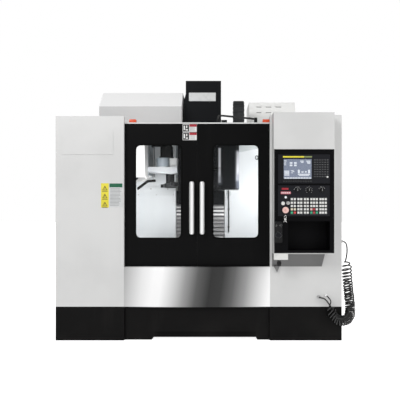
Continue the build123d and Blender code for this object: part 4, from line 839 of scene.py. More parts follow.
def smooth_line(points: Sequence[Point]) -> list[Vector]:
    """Points read from the NURBS line with these control points.

    Args:
        points: The control points.

    Returns:
        Points along the line, in order.
    """
    curve = nurbs("guide", [tuple(point) for point in points])
    curve.data.splines[0].resolution_u = 10
    bpy.context.view_layer.update()
    data = bpy.data.meshes.new_from_object(curve)
    line = [vertex.co.copy() for vertex in data.vertices]
    bpy.data.objects.remove(curve)
    bpy.data.meshes.remove(data)
    return line


# The machine's finishes

LIGHT_GREY = PaintedSheet("light_grey_paint", (0.665, 0.665, 0.66))
HOOD_PAINT = PaintedSheet(
    "magazine_hood_paint", (0.66, 0.66, 0.655),
    zones=(
        # Painted shade on the upper part of the front face, and painted light on the slope and top above it.
        Zone((0.54, 0.54, 0.54), y=(-0.70, -0.688), z=(1.80, 2.0885)),
        Zone((0.88, 0.88, 0.88), z=(2.0892, 2.30)),
    ),
)
BOX_PAINT = PaintedSheet(
    "control_box_paint", (0.635, 0.635, 0.63),
    # Painted shade: dark grey on the box's sloped underside.
    zones=(Zone((0.16, 0.16, 0.16), y=(-1.112, -0.905), z=(0.60, 0.768)),),
)
WARM_WHITE = PaintedSheet("pale_paint", (0.78, 0.78, 0.765))
INNER_WHITE = PaintedSheet("inner_white_paint", (0.76, 0.79, 0.81), gloss=0.3)
WALL_PAINT = PaintedSheet(
    "side_wall_paint", (0.76, 0.79, 0.81),
    zones=(
        Zone((0.665, 0.665, 0.66), x=(-1.26, -1.2515)), Zone((0.665, 0.665, 0.66), x=(1.2515, 1.26)),
        Zone((0.665, 0.665, 0.66), y=(0.2366, 0.27)),
    ),
)
BLACK_PAINT = PaintedSheet(
    "black_paint", (0.0028, 0.0028, 0.003), gloss=0.4, peel=0.1, soil=0.004, shine=0.06, coat=0.0,
)
PANEL_BLACK = PaintedSheet(
    "panel_black_paint", (0.0015, 0.0015, 0.002), gloss=0.5, peel=0.05, soil=0.003, shine=0.06, coat=0.0,
)
BASE_BLACK = PaintedSheet(
    "base_black_paint", (0.004, 0.0038, 0.0038), gloss=0.45, soil=0.012, shine=0.07, coat=0.0,
    # Painted shade: a near-black band low across the middle of the base.
    zones=(Zone((0.0004, 0.0004, 0.0004), x=(-0.391, 0.502), z=(0.023, 0.073)),),
)
HOOD_BLACK = PaintedSheet(
    "head_cover_paint", (0.0045, 0.005, 0.0062), gloss=0.3, soil=0.004, shine=0.12, coat=0.0,
    zones=(
        # Painted highlights: light strips on the two chamfered edges, each fading to dim grey at its foot.
        Zone((0.62, 0.63, 0.67), x=(0.176, 0.197), y=(-0.54, -0.465), z=(1.40, 1.725), soft=0.008),
        Zone((0.10, 0.11, 0.13), x=(0.174, 0.198), y=(-0.54, -0.465), z=(1.38, 1.47), soft=0.030),
        Zone((0.55, 0.56, 0.60), x=(0.344, 0.380), y=(-0.5005, -0.19), z=(1.42, 1.700), soft=0.020),
        Zone((0.10, 0.11, 0.14), x=(0.350, 0.380), y=(-0.51, -0.19), z=(1.34, 1.49), soft=0.030),
    ),
)
CHAIN_GREY = Plastic("chain_plastic", (0.017, 0.0175, 0.019), shine=0.3)
DARK_GREY = Plastic("dark_grey_plastic", (0.0055, 0.0058, 0.0085), shine=0.16)
BLACK_PLASTIC = Plastic("black_plastic", (0.004, 0.004, 0.0045), shine=0.2)
KEY_PLASTIC = Plastic(
    "key_plastic", (0.72, 0.72, 0.70), rough=0.35,
    zones=(
        Zone((0.012, 0.012, 0.014), z=(1.36, 1.62)),
        Zone((0.72, 0.66, 0.52), x=(0.775, 0.826), z=(1.139, 1.159)),
        Zone((0.72, 0.50, 0.46), x=(0.942, 0.985), z=(1.139, 1.159)),
        Zone((0.05, 0.42, 0.22), x=(0.775, 0.801), z=(1.112, 1.131)),
        Zone((0.60, 0.06, 0.06), x=(0.801, 0.826), z=(1.112, 1.131)),
        Zone((0.05, 0.36, 0.20), x=(0.942, 0.963), z=(1.112, 1.131)),
        Zone((0.42, 0.04, 0.05), x=(0.963, 0.987), z=(1.112, 1.159)),
        Zone((0.05, 0.36, 0.20), x=(0.987, 1.010), z=(1.112, 1.131)),
    ),
)
STOP_PLASTIC = Plastic("stop_button_plastic", (0.80, 0.52, 0.48), rough=0.35)
SOCKET_PLASTIC = Plastic(
    "socket_plastic", (0.72, 0.72, 0.70), rough=0.35, zones=(Zone((0.004, 0.004, 0.004), z=(0.60, 0.7215)),),
)
RED_RUBBER = Rubber("orange_rubber", (0.72, 0.08, 0.02), rough=0.4, dusty=0.05)
GASKET_RUBBER = PaintedSheet(
    "gasket_rubber", (0.002, 0.002, 0.002), gloss=0.6, soil=0.0, shine=0.05, coat=0.0,
)
BLACK_RUBBER = Rubber("black_rubber", (0.004, 0.004, 0.004), dusty=0.01)
HOSE_SKIN = Rubber("hose_skin", (0.002, 0.002, 0.0022), rough=0.22, dusty=0.002)
# Painted reflection: the apron's colour ramps through bright and dark bands along X, slanted with height, with
# no metal.
APRON_PAINTED_REFLECTION = Stainless(
    "apron_sheet_painted_reflection", (0.95, 0.95, 0.95), rough=0.3, grain=(30.0, 30.0, 1.0), waves=0.2, stain=0.0, metal=0.0,
    shine=0.2,
    painted_reflection_tones=(
        (-0.700, 0.37), (-0.500, 0.87), (-0.400, 1.03), (-0.330, 1.03), (-0.228, 0.71), (-0.122, 0.345),
        (-0.016, 0.11), (0.100, 0.025), (0.200, 0.034), (0.302, 0.122), (0.408, 0.33), (0.620, 1.05),
    ),
    slant=0.147, level=0.488,
)
STEEL_COVER = Stainless("steel_cover", (0.30, 0.30, 0.30), rough=0.34, grain=(1.0, 30.0, 30.0))
FOLD_STEEL = Stainless(
    "fold_steel", (0.13, 0.13, 0.135), rough=0.36, grain=(1.0, 30.0, 30.0), metal=0.3,
    # Painted highlights: the top folds carry bright bands and the lower ones dim, fold by fold.
    zones=tuple(
        Zone((tone, tone, tone), z=(1.1588 - 0.0384 * k, 1.1778 - 0.0384 * k))
        for k, tone in enumerate((0.38, 0.62, 0.62, 0.30, 0.19, 0.17, 0.16, 0.16, 0.15, 0.15, 0.15, 0.15))
    ),
)
GROUND_STEEL = Stainless("ground_steel", (0.56, 0.56, 0.55), rough=0.22, grain=(20.0, 20.0, 1.0))
PAN_STEEL = Stainless("pan_steel", (0.45, 0.46, 0.46), rough=0.34, grain=(6.0, 6.0, 6.0))
SATIN_ALLOY = Stainless("satin_alloy", (0.82, 0.82, 0.82), rough=0.3, grain=(20.0, 20.0, 1.0), stain=0.04)
HANDLE_ALLOY = Stainless(
    "handle_alloy", (0.95, 0.95, 0.95), rough=0.30, grain=(20.0, 20.0, 0.3), stain=0.0, metal=0.3,
    # Painted reflection: a bright band down the middle of each door handle, dark at both sides.
    painted_reflection_tones=(
        (-0.0815, 0.25), (-0.073, 0.62), (-0.061, 1.0), (-0.050, 0.72), (-0.0365, 0.22), (0.0060, 0.22),
        (0.014, 0.62), (0.026, 1.0), (0.040, 0.72), (0.051, 0.22),
    ),
)
ZINC_BOLT = Stainless("zinc_bolt", (0.42, 0.42, 0.42), rough=0.32, grain=(8.0, 8.0, 8.0))
BLUED_STEEL = Stainless(
    "blued_steel", (0.005, 0.005, 0.006), rough=0.42, grain=(8.0, 8.0, 8.0), metal=0.0, shine=0.2,
)
MOTOR_BLACK = Plastic("motor_black", (0.0015, 0.0012, 0.0012), shine=0.06)
GREY_CASTING = Casting("grey_casting", (0.24, 0.26, 0.28))
PALE_CASTING = Casting("pale_casting", (0.62, 0.63, 0.62))
GEAR_CASTING = Casting(
    "gearbox_casting", (0.74, 0.76, 0.76),
    zones=(
        # Painted shade: a bluish-grey patch below the motor, and a darker band below the step.
        Zone((0.30, 0.34, 0.38), x=(-0.45, -0.30), y=(-0.42, -0.30), z=(1.558, 1.650)),
        Zone((0.50, 0.52, 0.54), z=(1.45, 1.557), soft=0.004),
    ),
)
HEAD_CASTING = Casting("head_casting", (0.012, 0.012, 0.014), shine=0.2)
BLUE_CASTING = Casting("blue_grey_casting", (0.40, 0.44, 0.47))
TABLE_IRON = Casting("table_iron", (0.30, 0.30, 0.29), gloss=0.3)
CLEAR_PANE = Pane("clear_pane", (0.10, 0.11, 0.11))
SCREEN_GLASS = Pane("screen_glass_finish", (0.3, 0.32, 0.36), clear=0.9)
MID_GREY = PaintedSheet("mid_grey_paint", (0.17, 0.17, 0.17), gloss=0.4)
CARD_GREY = Plastic("card_film", (0.62, 0.63, 0.63), rough=0.4)
SIGN_WHITE = Plastic("white_film", (0.74, 0.74, 0.73), rough=0.4)
SIGN_BLACK = Plastic("black_film", (0.02, 0.02, 0.02), rough=0.4)
SIGN_GREY = Plastic("grey_film", (0.25, 0.26, 0.27), rough=0.4)
SIGN_RED = Plastic("red_film", (0.34, 0.010, 0.022), rough=0.4)
SIGN_PINK = Plastic("pink_film", (0.55, 0.16, 0.20), rough=0.4)
SIGN_YELLOW = Plastic("yellow_film", (0.78, 0.68, 0.05), rough=0.4)
SIGN_OLIVE = Plastic("olive_film", (0.22, 0.26, 0.10), rough=0.4)
SIGN_GREEN = Plastic("green_film", (0.004, 0.10, 0.045), rough=0.4)
PAINTED_SHADE_GREY = PaintedSheet("painted_shade_sheet", (0.55, 0.59, 0.60), gloss=0.4)
BRASS = Stainless("brass", (0.42, 0.29, 0.09), rough=0.3, grain=(8.0, 8.0, 8.0), metal=0.6)
SCREEN_BLUE = Glow("screen_field", (0.16, 0.19, 0.27), strength=0.9)
SCREEN_WHITE = Glow("screen_marks", (0.72, 0.76, 0.82), strength=0.9)
LAMP_WHITE = Glow("lamp_tube", (1.0, 0.99, 0.96), strength=3.0)

NODE_FINISHES: dict[Finish, tuple[str, ...]] = {
    LIGHT_GREY: ("left_face", "right_face", "door_tracks", "coolant_unit"),
    BOX_PAINT: ("control_box",),
    HOOD_PAINT: ("magazine_hood",),
    WARM_WHITE: ("electrical_cabinet", "electrical_door"),
    WALL_PAINT: ("side_walls", "rear_panels"),
    BLACK_PAINT: ("door_left", "door_right"),
    PANEL_BLACK: ("panel_frame", "storage_pocket"),
    BASE_BLACK: ("base_skirts",),
    HOOD_BLACK: ("head_cover",),
    DARK_GREY: ("display_unit", "key_panel", "pendant_wheel"),
    CHAIN_GREY: ("drag_chain",),
    BLACK_PLASTIC: (
        "pendant_body", "mode_knob", "feed_knob", "rapid_knob", "tool_pots", "change_pot", "servo_motors",
        "x_servo",
    ),
    MOTOR_BLACK: ("changer_motors",),
    KEY_PLASTIC: ("panel_keys",),
    SOCKET_PLASTIC: ("service_socket",),
    STOP_PLASTIC: ("stop_button",),
    RED_RUBBER: ("header_caps",),
    HOSE_SKIN: ("hose_coil", "hose_ends"),
    APRON_PAINTED_REFLECTION: ("apron",),
    STEEL_COVER: ("table_covers",),
    FOLD_STEEL: ("z_cover",),
    PAN_STEEL: ("chip_pans",),
    HANDLE_ALLOY: ("door_left_handle", "door_right_handle"),
    GROUND_STEEL: ("spindle", "x_screw", "y_screw", "z_screw", "key_switch"),
    ZINC_BOLT: ("leveling_feet", "hose_fittings"),
    BLUED_STEEL: ("change_arm", "arm_shaft"),
    GREY_CASTING: ("bed", "saddle", "magazine_disc"),
    PALE_CASTING: ("column",),
    HEAD_CASTING: ("spindle_head",),
    GEAR_CASTING: ("changer_gearbox",),
    BLUE_CASTING: ("changer_frame",),
    TABLE_IRON: ("table",),
    CLEAR_PANE: ("door_left_pane", "door_right_pane"),
}


def dress_nodes(nodes: dict[str, bpy.types.Object]) -> None:
    """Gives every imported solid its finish.

    Args:
        nodes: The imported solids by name.
    """
    for finish, names in NODE_FINISHES.items():
        for name in names:
            materials = nodes[name].data.materials
            materials.clear()
            materials.append(finish.material())
    bare = set(nodes) - {name for names in NODE_FINISHES.values() for name in names}
    LOG.info("solids without a finish: %s", sorted(bare))


@dataclass
class CurlyHose:
    """The coiled air hose at the right side, from its port to its coupling.

    The swell, the sway and the first turn are shares of the coil's radius, of its lean and of both. The
    bend is a place, a reach and how much tighter it is, and the end is where it starts and how much looser.
    """

    diameter: float = 0.012
    curl_radius: float = 0.042
    turns: int = 38
    steps: int = 14
    lean: float = 0.011
    swell: Span = (0.90, 1.05)
    sway: Span = (0.4, 1.3)
    first_turn: Span = (0.45, 0.4)
    top_pitch: float = 1.75
    pitch: float = 0.85
    top_share: float = 0.26
    bend: Point = (0.68, 0.20, 0.20)
    end: Span = (0.88, 0.7)
    port: tuple[Point, ...] = (
        (1.2765, -0.848, 0.864), (1.300, -0.848, 0.859), (1.313, -0.848, 0.822), (1.314, -0.849, 0.758),
        (1.308, -0.850, 0.690),
    )
    coil: tuple[Point, ...] = (
        (1.308, -0.850, 0.690), (1.312, -0.852, 0.560), (1.326, -0.858, 0.400), (1.338, -0.872, 0.290),
        (1.318, -0.936, 0.206), (1.250, -0.978, 0.180), (1.170, -0.974, 0.204), (1.128, -0.966, 0.300),
    )
    outlet: tuple[Point, ...] = (
        (1.128, -0.966, 0.300), (1.122, -0.965, 0.340), (1.096, -0.964, 0.374), (1.062, -0.962, 0.382),
        (1.051, -0.934, 0.380),
    )

    def spacing(self, share: float) -> float:
        """How stretched the coil is at a share of its length: loose at both ends, tight in the bend.

        Args:
            share: The share, from the top.

        Returns:
            The pitch of the turns there, to be scaled to the coil's length.
        """
        (place, reach, tighter), (start, looser) = self.bend, self.end
        pitch = self.top_pitch - (self.top_pitch - self.pitch) * min(share / self.top_share, 1.0)
        pitch -= tighter * max(1.0 - abs(share - place) / reach, 0.0)
        return pitch + looser * max((share - start) / (1.0 - start), 0.0)

    def helix(self) -> list[Point]:
        """Control points of the turns, wound round the coil's own smooth line.

        Returns:
            The points, in metres.
        """
        line = smooth_line(self.coil)
        lengths = [0.0]
        for near, far in zip(line, line[1:]):
            lengths.append(lengths[-1] + (far - near).length)
        total = lengths[-1]
        count = self.turns * self.steps
        marks = [0.0]
        for k in range(count):
            marks.append(marks[-1] + self.spacing(k / count))
        marks = [mark / marks[-1] * total for mark in marks]
        points, turn, index = [], None, 0
        draw = random.Random(7)
        swell = [draw.uniform(*self.swell) for _ in range(self.turns + 2)]
        slant = [self.lean * draw.uniform(*self.sway) for _ in range(self.turns + 2)]
        least, rise = self.first_turn
        for k, mark in enumerate(marks):
            while index < len(line) - 2 and lengths[index + 1] < mark:
                index += 1
            share = (mark - lengths[index]) / max(lengths[index + 1] - lengths[index], 1e-9)
            centre = line[index].lerp(line[index + 1], min(max(share, 0.0), 1.0))
            ahead = (line[min(index + 2, len(line) - 1)] - line[max(index - 1, 0)]).normalized()
            turn = ahead.orthogonal() if turn is None else turn
            turn = (turn - ahead * turn.dot(ahead)).normalized()
            cross = ahead.cross(turn)
            angle = math.tau * k / self.steps
            ease = min(1.0, least + rise * k / self.steps, least + rise * (count - k) / self.steps)
            radius = self.curl_radius * ease * self.blend(swell, k / self.steps)
            around = (turn * math.cos(angle) + cross * math.sin(angle)) * radius
            lean = self.blend(slant, k / self.steps) * ease
            points.append(tuple(centre + around + ahead * (lean * math.cos(angle))))
        return points

    @staticmethod
    def blend(sizes: list[float], place: float) -> float:
        """The size at a place between two turns."""
        loop, part = divmod(place, 1.0)
        return sizes[int(loop)] * (1.0 - part) + sizes[int(loop) + 1] * part

    def second_end(self) -> None:
        """The hose's other loose end, out of the last turns to a coupling on the right face."""
        line = (
            (1.1290, -0.966, 0.300), (1.1400, -0.968, 0.325), (1.1486, -0.962, 0.351), (1.1350, -0.950, 0.378),
            (1.1125, -0.934, 0.398),
        )
        Batch("hose_second_end", HOSE_SKIN).tube(line, 0.005, 12).place()
        Batch("hose_second_coupling", SATIN_ALLOY).turned(
            (1.1115, -0.9095, 0.3985), Side.FRONT,
            ((0.0, 0.013), (0.006, 0.013), (0.007, 0.009), (0.018, 0.009), (0.020, 0.0065), (0.030, 0.006)), 20,
        ).place()

    def build(self) -> None:
        self.second_end()
        points = [*self.port[:-1], *self.helix(), *self.outlet[1:]]
        hose = nurbs("curly_hose", points, self.diameter / 2)
        hose.data.materials.append(HOSE_SKIN.material())
        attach(hose, "machine")
        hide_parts("hose_coil", "hose_ends")
        bpy.context.view_layer.update()
        bare = nurbs("hose_length", points)
        data = bpy.data.meshes.new_from_object(bare)
        bpy.data.objects.remove(bare)
        bpy.data.meshes.remove(data)


@dataclass
class Studio:
    """Camera at the photograph's viewing angle, plain floor, and soft lamps."""

    eye: Point = (0.143, -5.910, 1.160)
    lens: float = 51.4
    shift: Span = (-0.0375, 0.02)
    sensor: float = 36.0
    half_floor: float = 40.0
    fill: float = 0.55
    lamps: tuple[tuple[str, Point, Point, Span, float], ...] = (
        ("key_lamp", (-2.6, -5.6, 4.4), (0.0, -0.8, 1.0), (2.6, 2.0), 150.0),
        ("fill_lamp", (3.8, -4.6, 2.6), (0.2, -0.8, 1.0), (2.0, 2.4), 62.0),
        ("cabin_lamp_left", (-0.75, -0.66, 1.42), (-0.70, 0.1, 0.9), (0.8, 0.1), 4.0),
        ("cabin_lamp_low", (-0.45, -0.73, 0.76), (-0.42, -0.30, 1.6), (0.9, 0.1), 5.5),
        ("cabin_lamp_hood", (-0.55, -0.815, 1.58), (-0.55, -0.69, 1.58), (0.7, 0.4), 1.7),
        ("roof_lamp", (0.60, -0.50, 2.02), (0.72, 0.64, 2.08), (0.5, 0.1), 1.1),
        ("cabin_lamp_right", (0.80, -0.66, 1.36), (0.72, 0.1, 1.2), (0.7, 0.1), 8.5),
    )

    def camera(self) -> None:
        """Places the level camera."""
        data = bpy.data.cameras.new("camera")
        data.lens = self.lens
        data.sensor_width = self.sensor
        data.shift_x, data.shift_y = self.shift
        camera = bpy.data.objects.new("camera", data)
        camera.location = self.eye
        camera.rotation_euler = (math.radians(90.0), 0.0, 0.0)
        bpy.context.scene.collection.objects.link(camera)
        bpy.context.scene.camera = camera

    def floor(self) -> None:
        """Lays a pale floor that reads as white to the eye and to gloss."""
        data = bpy.data.meshes.new("floor")
        corners = ((-1, -1), (1, -1), (1, 1), (-1, 1))
        corners = [(x * self.half_floor, y * self.half_floor, 0.0) for x, y in corners]
        data.from_pydata(corners, [], [(0, 1, 2, 3)])
        floor = bpy.data.objects.new("floor", data)
        bpy.context.scene.collection.objects.link(floor)
        graph = Graph(bpy.data.materials.new("studio_floor"))
        graph.set(Base_Color=(0.86, 0.86, 0.86), Roughness=0.9, Specular_IOR_Level=0.1)
        seen = graph.rays("Camera", "Glossy", "Transmission")
        graph.set(Emission_Color=graph.mix((0.0, 0.0, 0.0), (1.0, 1.0, 1.0), seen), Emission_Strength=0.9)
        data.materials.append(graph.owner)

    def world(self) -> None:
        """Sets a surround that is white to the eye and through panes, and a weaker fill for the rest."""
        world = bpy.data.worlds.new("surround")
        bpy.context.scene.world = world
        graph = Graph(world, "Background")
        seen = graph.rays("Camera", "Transmission")
        weight = graph.add("ShaderNodeMix", {"data_type": "FLOAT"}, {0: seen, 2: self.fill, 3: 1.0})
        graph.set(Color=(1.0, 1.0, 1.0), Strength=weight)

    def lamp(self, name: str, place: Point, aim: Point, size: Span, power: float) -> None:
        """Adds one soft lamp.

        Args:
            name: Its name.
            place: Where it hangs.
            aim: What it points at.
            size: Its width and height.
            power: Watts.
        """
        data = bpy.data.lights.new(name, "AREA")
        data.shape = "RECTANGLE"
        data.size, data.size_y = size
        data.energy = power
        lamp = bpy.data.objects.new(name, data)
        lamp.location = place
        lamp.visible_camera = False
        lamp.rotation_euler = (Vector(aim) - Vector(place)).to_track_quat("-Z", "Y").to_euler()
        bpy.context.scene.collection.objects.link(lamp)

    def build(self) -> None:
        """Sets up the whole studio."""
        bpy.context.scene.view_settings.view_transform = "Standard"
        self.camera()
        self.floor()
        self.world()
        for lamp in self.lamps:
            self.lamp(*lamp)


@dataclass
class DoorFittings:
    """Window gaskets, the seam seal and the two rows of blank sign fields on the doors."""

    front: Face = Face(Side.FRONT, -0.860)
    seam: float = -0.015
    from_seam: float = 0.137
    width: float = 0.406
    window: Span = (0.893, 1.719)
    corner: float = 0.044
    lap: float = 0.008
    top: float = 1.906

    def gaskets(self) -> None:
        """Rubber strip round each window."""
        for side, body in ((-1, "left_door"), (1, "right_door")):
            near = self.seam + side * (0.0015 + self.from_seam)
            left, right = sorted((near, near + side * self.width))
            outer = (left - self.lap, right + self.lap, self.window[0] - self.lap, self.window[1] + self.lap)
            strip = Batch(f"{body}_gasket", GASKET_RUBBER, body)
            strip.frame(self.front, outer, self.corner + self.lap, 0.014, 0.004).place()

    def seal(self) -> None:
        """Black seal that closes the seam, on the left door."""
        Batch("seam_seal", BLACK_RUBBER, "left_door").block(
            (self.seam - 0.0016, self.seam + 0.0010), (self.front.at + 0.004, self.front.at + 0.034),
            (0.646, self.top - 0.004), 0.0006,
        ).place()

    def signs(self) -> None:
        """Two rows: a dark square field, and a pale field under a red header."""
        pale, dark, red, lines = (
            Batch(f"door_sign_{name}", finish, "left_door")
            for name, finish in (
                ("fields", SIGN_WHITE), ("squares", SIGN_BLACK), ("headers", SIGN_RED), ("lines", SIGN_GREY),
            )
        )
        card = self.front.over(0.0007)
        for z in (1.833, 1.760):
            pale.plate(self.front, 0.0007, (-0.1435, -0.0185, z, z + 0.068), radius=0.003)
            dark.plate(card, PRINT, (-0.140, -0.086, z + 0.004, z + 0.064))
            red.plate(card, PRINT, (-0.083, -0.0195, z + 0.045, z + 0.067))
            for k in range(4):
                low = z + 0.008 + k * 0.0095
                lines.plate(card, PRINT, (-0.078, -0.030 - 0.006 * (k % 2), low, low + 0.003))
            pale.plate(
                card.over(PRINT), PRINT, (-0.134, -0.122, z + 0.016, z + 0.054),
                (-0.116, -0.096, z + 0.012, z + 0.024), (-0.112, -0.102, z + 0.034, z + 0.056), radius=0.003,
            )
        for batch in (pale, dark, red, lines):
            batch.place()

    def build(self) -> None:
        """Makes everything on the doors."""
        self.gaskets()
        self.seal()
        self.signs()


@dataclass
class OperatorPanel:
    """Screen picture, keys' marks, dials, lamps, sign fields, spare keys, lip screws and gusset."""

    face: Face = Face(Side.FRONT, -1.112)
    frame: Face = Face(Side.FRONT, -1.108)
    screen: Spans = (0.720, 0.956, 1.403, 1.574)
    blocks: tuple[Spans, ...] = (
        (4, 22, 14, 6), (4, 16, 26, 4), (4, 19, 34, 4), (4, 14, 42, 4), (4, 18, 50, 4), (52, 22, 28, 14),
        (52, 22, 48, 14), (88, 22, 28, 14), (88, 22, 48, 14), (140, 28, 16, 7), (146, 22, 26, 7),
        (190, 36, 16, 7), (196, 30, 26, 7), (200, 24, 36, 6), (6, 42, 100, 8), (6, 42, 111, 8), (6, 42, 122, 8),
        (6, 42, 133, 8), (60, 24, 96, 5), (68, 22, 104, 5), (62, 18, 116, 5), (120, 16, 92, 30),
        (206, 16, 92, 30), (120, 102, 126, 9), (128, 86, 138, 6), (150, 18, 106, 10), (180, 14, 104, 12),
    )
    knobs: tuple[tuple[str, float, float], ...] = (
        ("mode_knob", 0.835, 75.0), ("feed_knob", 0.933, 135.0), ("rapid_knob", 1.042, 60.0),
    )
    knob_z: float = 1.310
    stop: Point = (0.734, -1.136, 1.142)

    def display(self) -> None:
        """Lit screen with plain bars and blocks, whose left, width, depth and height are in millimetres."""
        left, right, low, high = self.screen
        glass = self.face.over(-0.0065)
        Batch("screen_face", SCREEN_BLUE).plate(glass, 0.0006, self.screen, radius=0.003).place()
        spans = []
        for block in self.blocks:
            x, width, down, height = (size * MILLIMETRE for size in block)
            spans.append((left + x, left + x + width, high - down - height, high - down))
        for start in (left + 0.005 + k * 0.023 for k in range(10)):
            spans.append((start, start + 0.020, low + 0.004, low + 0.014))
        Batch("screen_bars", SCREEN_WHITE).plate(glass.over(0.0006), PRINT, *spans).place()
        cover = self.face.over(-0.003)
        Batch("screen_glass", SCREEN_GLASS).plate(cover, 0.0008, self.screen, radius=0.003).place()
        outer = (left - 0.007, right + 0.007, low - 0.005, high + 0.005)
        Batch("screen_rim", BLACK_PLASTIC).frame(self.face, outer, 0.006, 0.007, 0.002).place()

    def stripes(self) -> None:
        """Yellow stripe over the screen, sign fields and lamps."""
        for name, finish, spans in (
            ("display_stripe", SIGN_YELLOW, (0.7145, 0.891, 1.584, 1.596)),
            ("display_stripe_end", SIGN_OLIVE, (0.891, 0.958, 1.584, 1.596)),
            ("panel_red_field", SIGN_RED, (0.704, 0.760, 1.313, 1.329)),
            ("panel_pink_field", SIGN_PINK, (0.696, 0.780, 1.277, 1.298)),
        ):
            Batch(name, finish).plate(self.face, 0.0006, spans).place()
        marks = Batch("panel_white_marks", SIGN_WHITE)
        for x in (0.702 + k * 0.0155 for k in range(5)):
            marks.plate(self.face.over(0.0006), PRINT, (x, x + 0.009, 1.283, 1.292))
        marks.disc(self.face.over(0.003), 0.008, 0.001, (1.0876, 1.4214)).place()
        Batch("panel_pilot_lamp", SCREEN_WHITE).turned(
            (0.737, self.face.at, 1.250), Side.FRONT,
            ((0.0, 0.008), (0.006, 0.008), (0.009, 0.005), (0.010, 0.001)), 20,
        ).place()
        rings = Batch("panel_button_rings", ZINC_BOLT)
        for x, z, radius in ((0.737, 1.250, 0.011), (0.715, 1.199, 0.0165), (0.757, 1.202, 0.0145)):
            profile = ((-0.0002, radius), (0.002, radius), (0.0026, radius - 0.001), (0.0026, radius - 0.002))
            rings.turned((x, self.face.at, z), Side.FRONT, profile, 28)
        rings.place()

    def dials(self) -> None:
        """Scale ticks round each rotary switch, and a pointer line and a disc on each knob."""
        ticks = Batch("dial_ticks", SIGN_WHITE)
        top = self.face.over(0.0205)
        for name, x, reach in self.knobs:
            count = 9 if reach > 100 else 7
            centre = self.face.point(x, self.knob_z, -0.0003)
            for k in range(count):
                angle = math.radians(-reach + 2 * reach * k / (count - 1))
                across = Vector((math.cos(angle), 0.0, -math.sin(angle))) * 0.0007
                way = Vector((math.sin(angle), 0.0, math.cos(angle)))
                near, far = centre + way * 0.0225, centre + way * (0.0285 if k % 2 else 0.031)
                tick = (near - across, near + across, far + across, far - across)
                ticks.prism(tick, (0.0, -0.0008, 0.0), 0.0)
            line = (x - 0.0011, x + 0.0011, self.knob_z + 0.003, self.knob_z + 0.0125)
            Batch(f"{name}_pointer", SIGN_WHITE, name).plate(top, 0.0004, line).place()
            Batch(f"{name}_disc", ZINC_BOLT, name).disc(top, 0.003, 0.0004, (x, self.knob_z - 0.003)).place()
        ticks.place()

    def key_marks(self) -> None:
        """Fine light marks on the dark keys, and thin lines over and under the key groups."""
        marks = Batch("data_key_marks", SIGN_GREY)
        draw = random.Random(3)
        for row, column in product(range(8), range(6)):
            x, z = 0.982 + column * 0.0216, 1.423 + row * 0.020
            half = draw.uniform(0.004, 0.009) / 2
            marks.plate(self.face.over(0.003), 0.0002, (x - half, x + half, z, z + 0.003))
        marks.place()
        lines = Batch("key_group_lines", SIGN_GREY)
        for left, right in ((0.777, 0.825), (0.833, 0.879), (0.887, 0.933), (0.941, 1.010), (1.018, 1.084)):
            lines.plate(self.face, PRINT, *((left, right, z, z + 0.001) for z in (1.2465, 1.1075)))
        lines.place()

    def spare_keys(self) -> None:
        """A small ring with three keys on a hook at the edge of the panel."""
        x, z = 0.733, 1.098
        ring = [(a, self.face.at - 0.005, b) for a, b in circle(x, z - 0.011, 0.011, 13, 0.0, 30.0)]
        metal = Batch("spare_keys", GROUND_STEEL).disc(self.face, 0.004, 0.008, (x, z)).tube(ring, 0.0009, 8)
        for lean, reach in ((-0.35, 0.034), (0.28, 0.036), (0.02, 0.030)):
            way = Vector((math.sin(lean), 0.0, -math.cos(lean)))
            side = Vector((math.cos(lean), 0.0, math.sin(lean)))
            start = Vector((x, self.face.at - 0.004 - 0.0016 * lean, z - 0.022))
            blade = ((-0.0025, 0.014), (0.0025, 0.014), (0.0025, reach), (0.0, reach + 0.003), (-0.0025, reach))
            for outline in (circle(0.0, 0.008, 0.008, 10), blade):
                metal.prism([start + side * a + way * b for a, b in outline], (0.0, -0.0015, 0.0), PRINT)
        metal.place()

    def screws(self) -> None:
        """Screws of the display, the key panel and the black plate, and the stop button's ring and mark."""
        screws = Batch("panel_screws", BLACK_PLASTIC)
        screws.disc(
            self.face, 0.0035, 0.0016, *product((0.680, 1.103), (1.373, 1.604)),
            *product((0.680, 1.101), (1.098, 1.344)), sides=16,
        )
        screws.disc(self.frame, 0.004, 0.0018, *product((0.650, 1.136), (0.800, 1.075, 1.360, 1.636)), sides=16)
        screws.place()
        x, front, z = self.stop
        Batch("stop_button_ring", BLACK_PLASTIC).turned(
            (x, self.face.at, z), Side.FRONT,
            ((-0.0002, 0.0285), (0.0015, 0.0285), (0.0018, 0.0275), (0.0018, 0.018)), 40,
        ).place()
        arc = [(a, front, b) for a, b in circle(x, z, 0.0075, 12, 40.0, -26.0)]
        Batch("stop_button_mark", SIGN_RED, "stop_button").tube(arc, 0.0012, 8).place()
        Batch("pocket_side_screws", ZINC_BOLT).disc(
            self.frame, 0.0042, 0.002, (0.647, 1.004), (0.697, 1.004), (0.672, 0.968), (0.672, 0.934), sides=16,
        ).place()

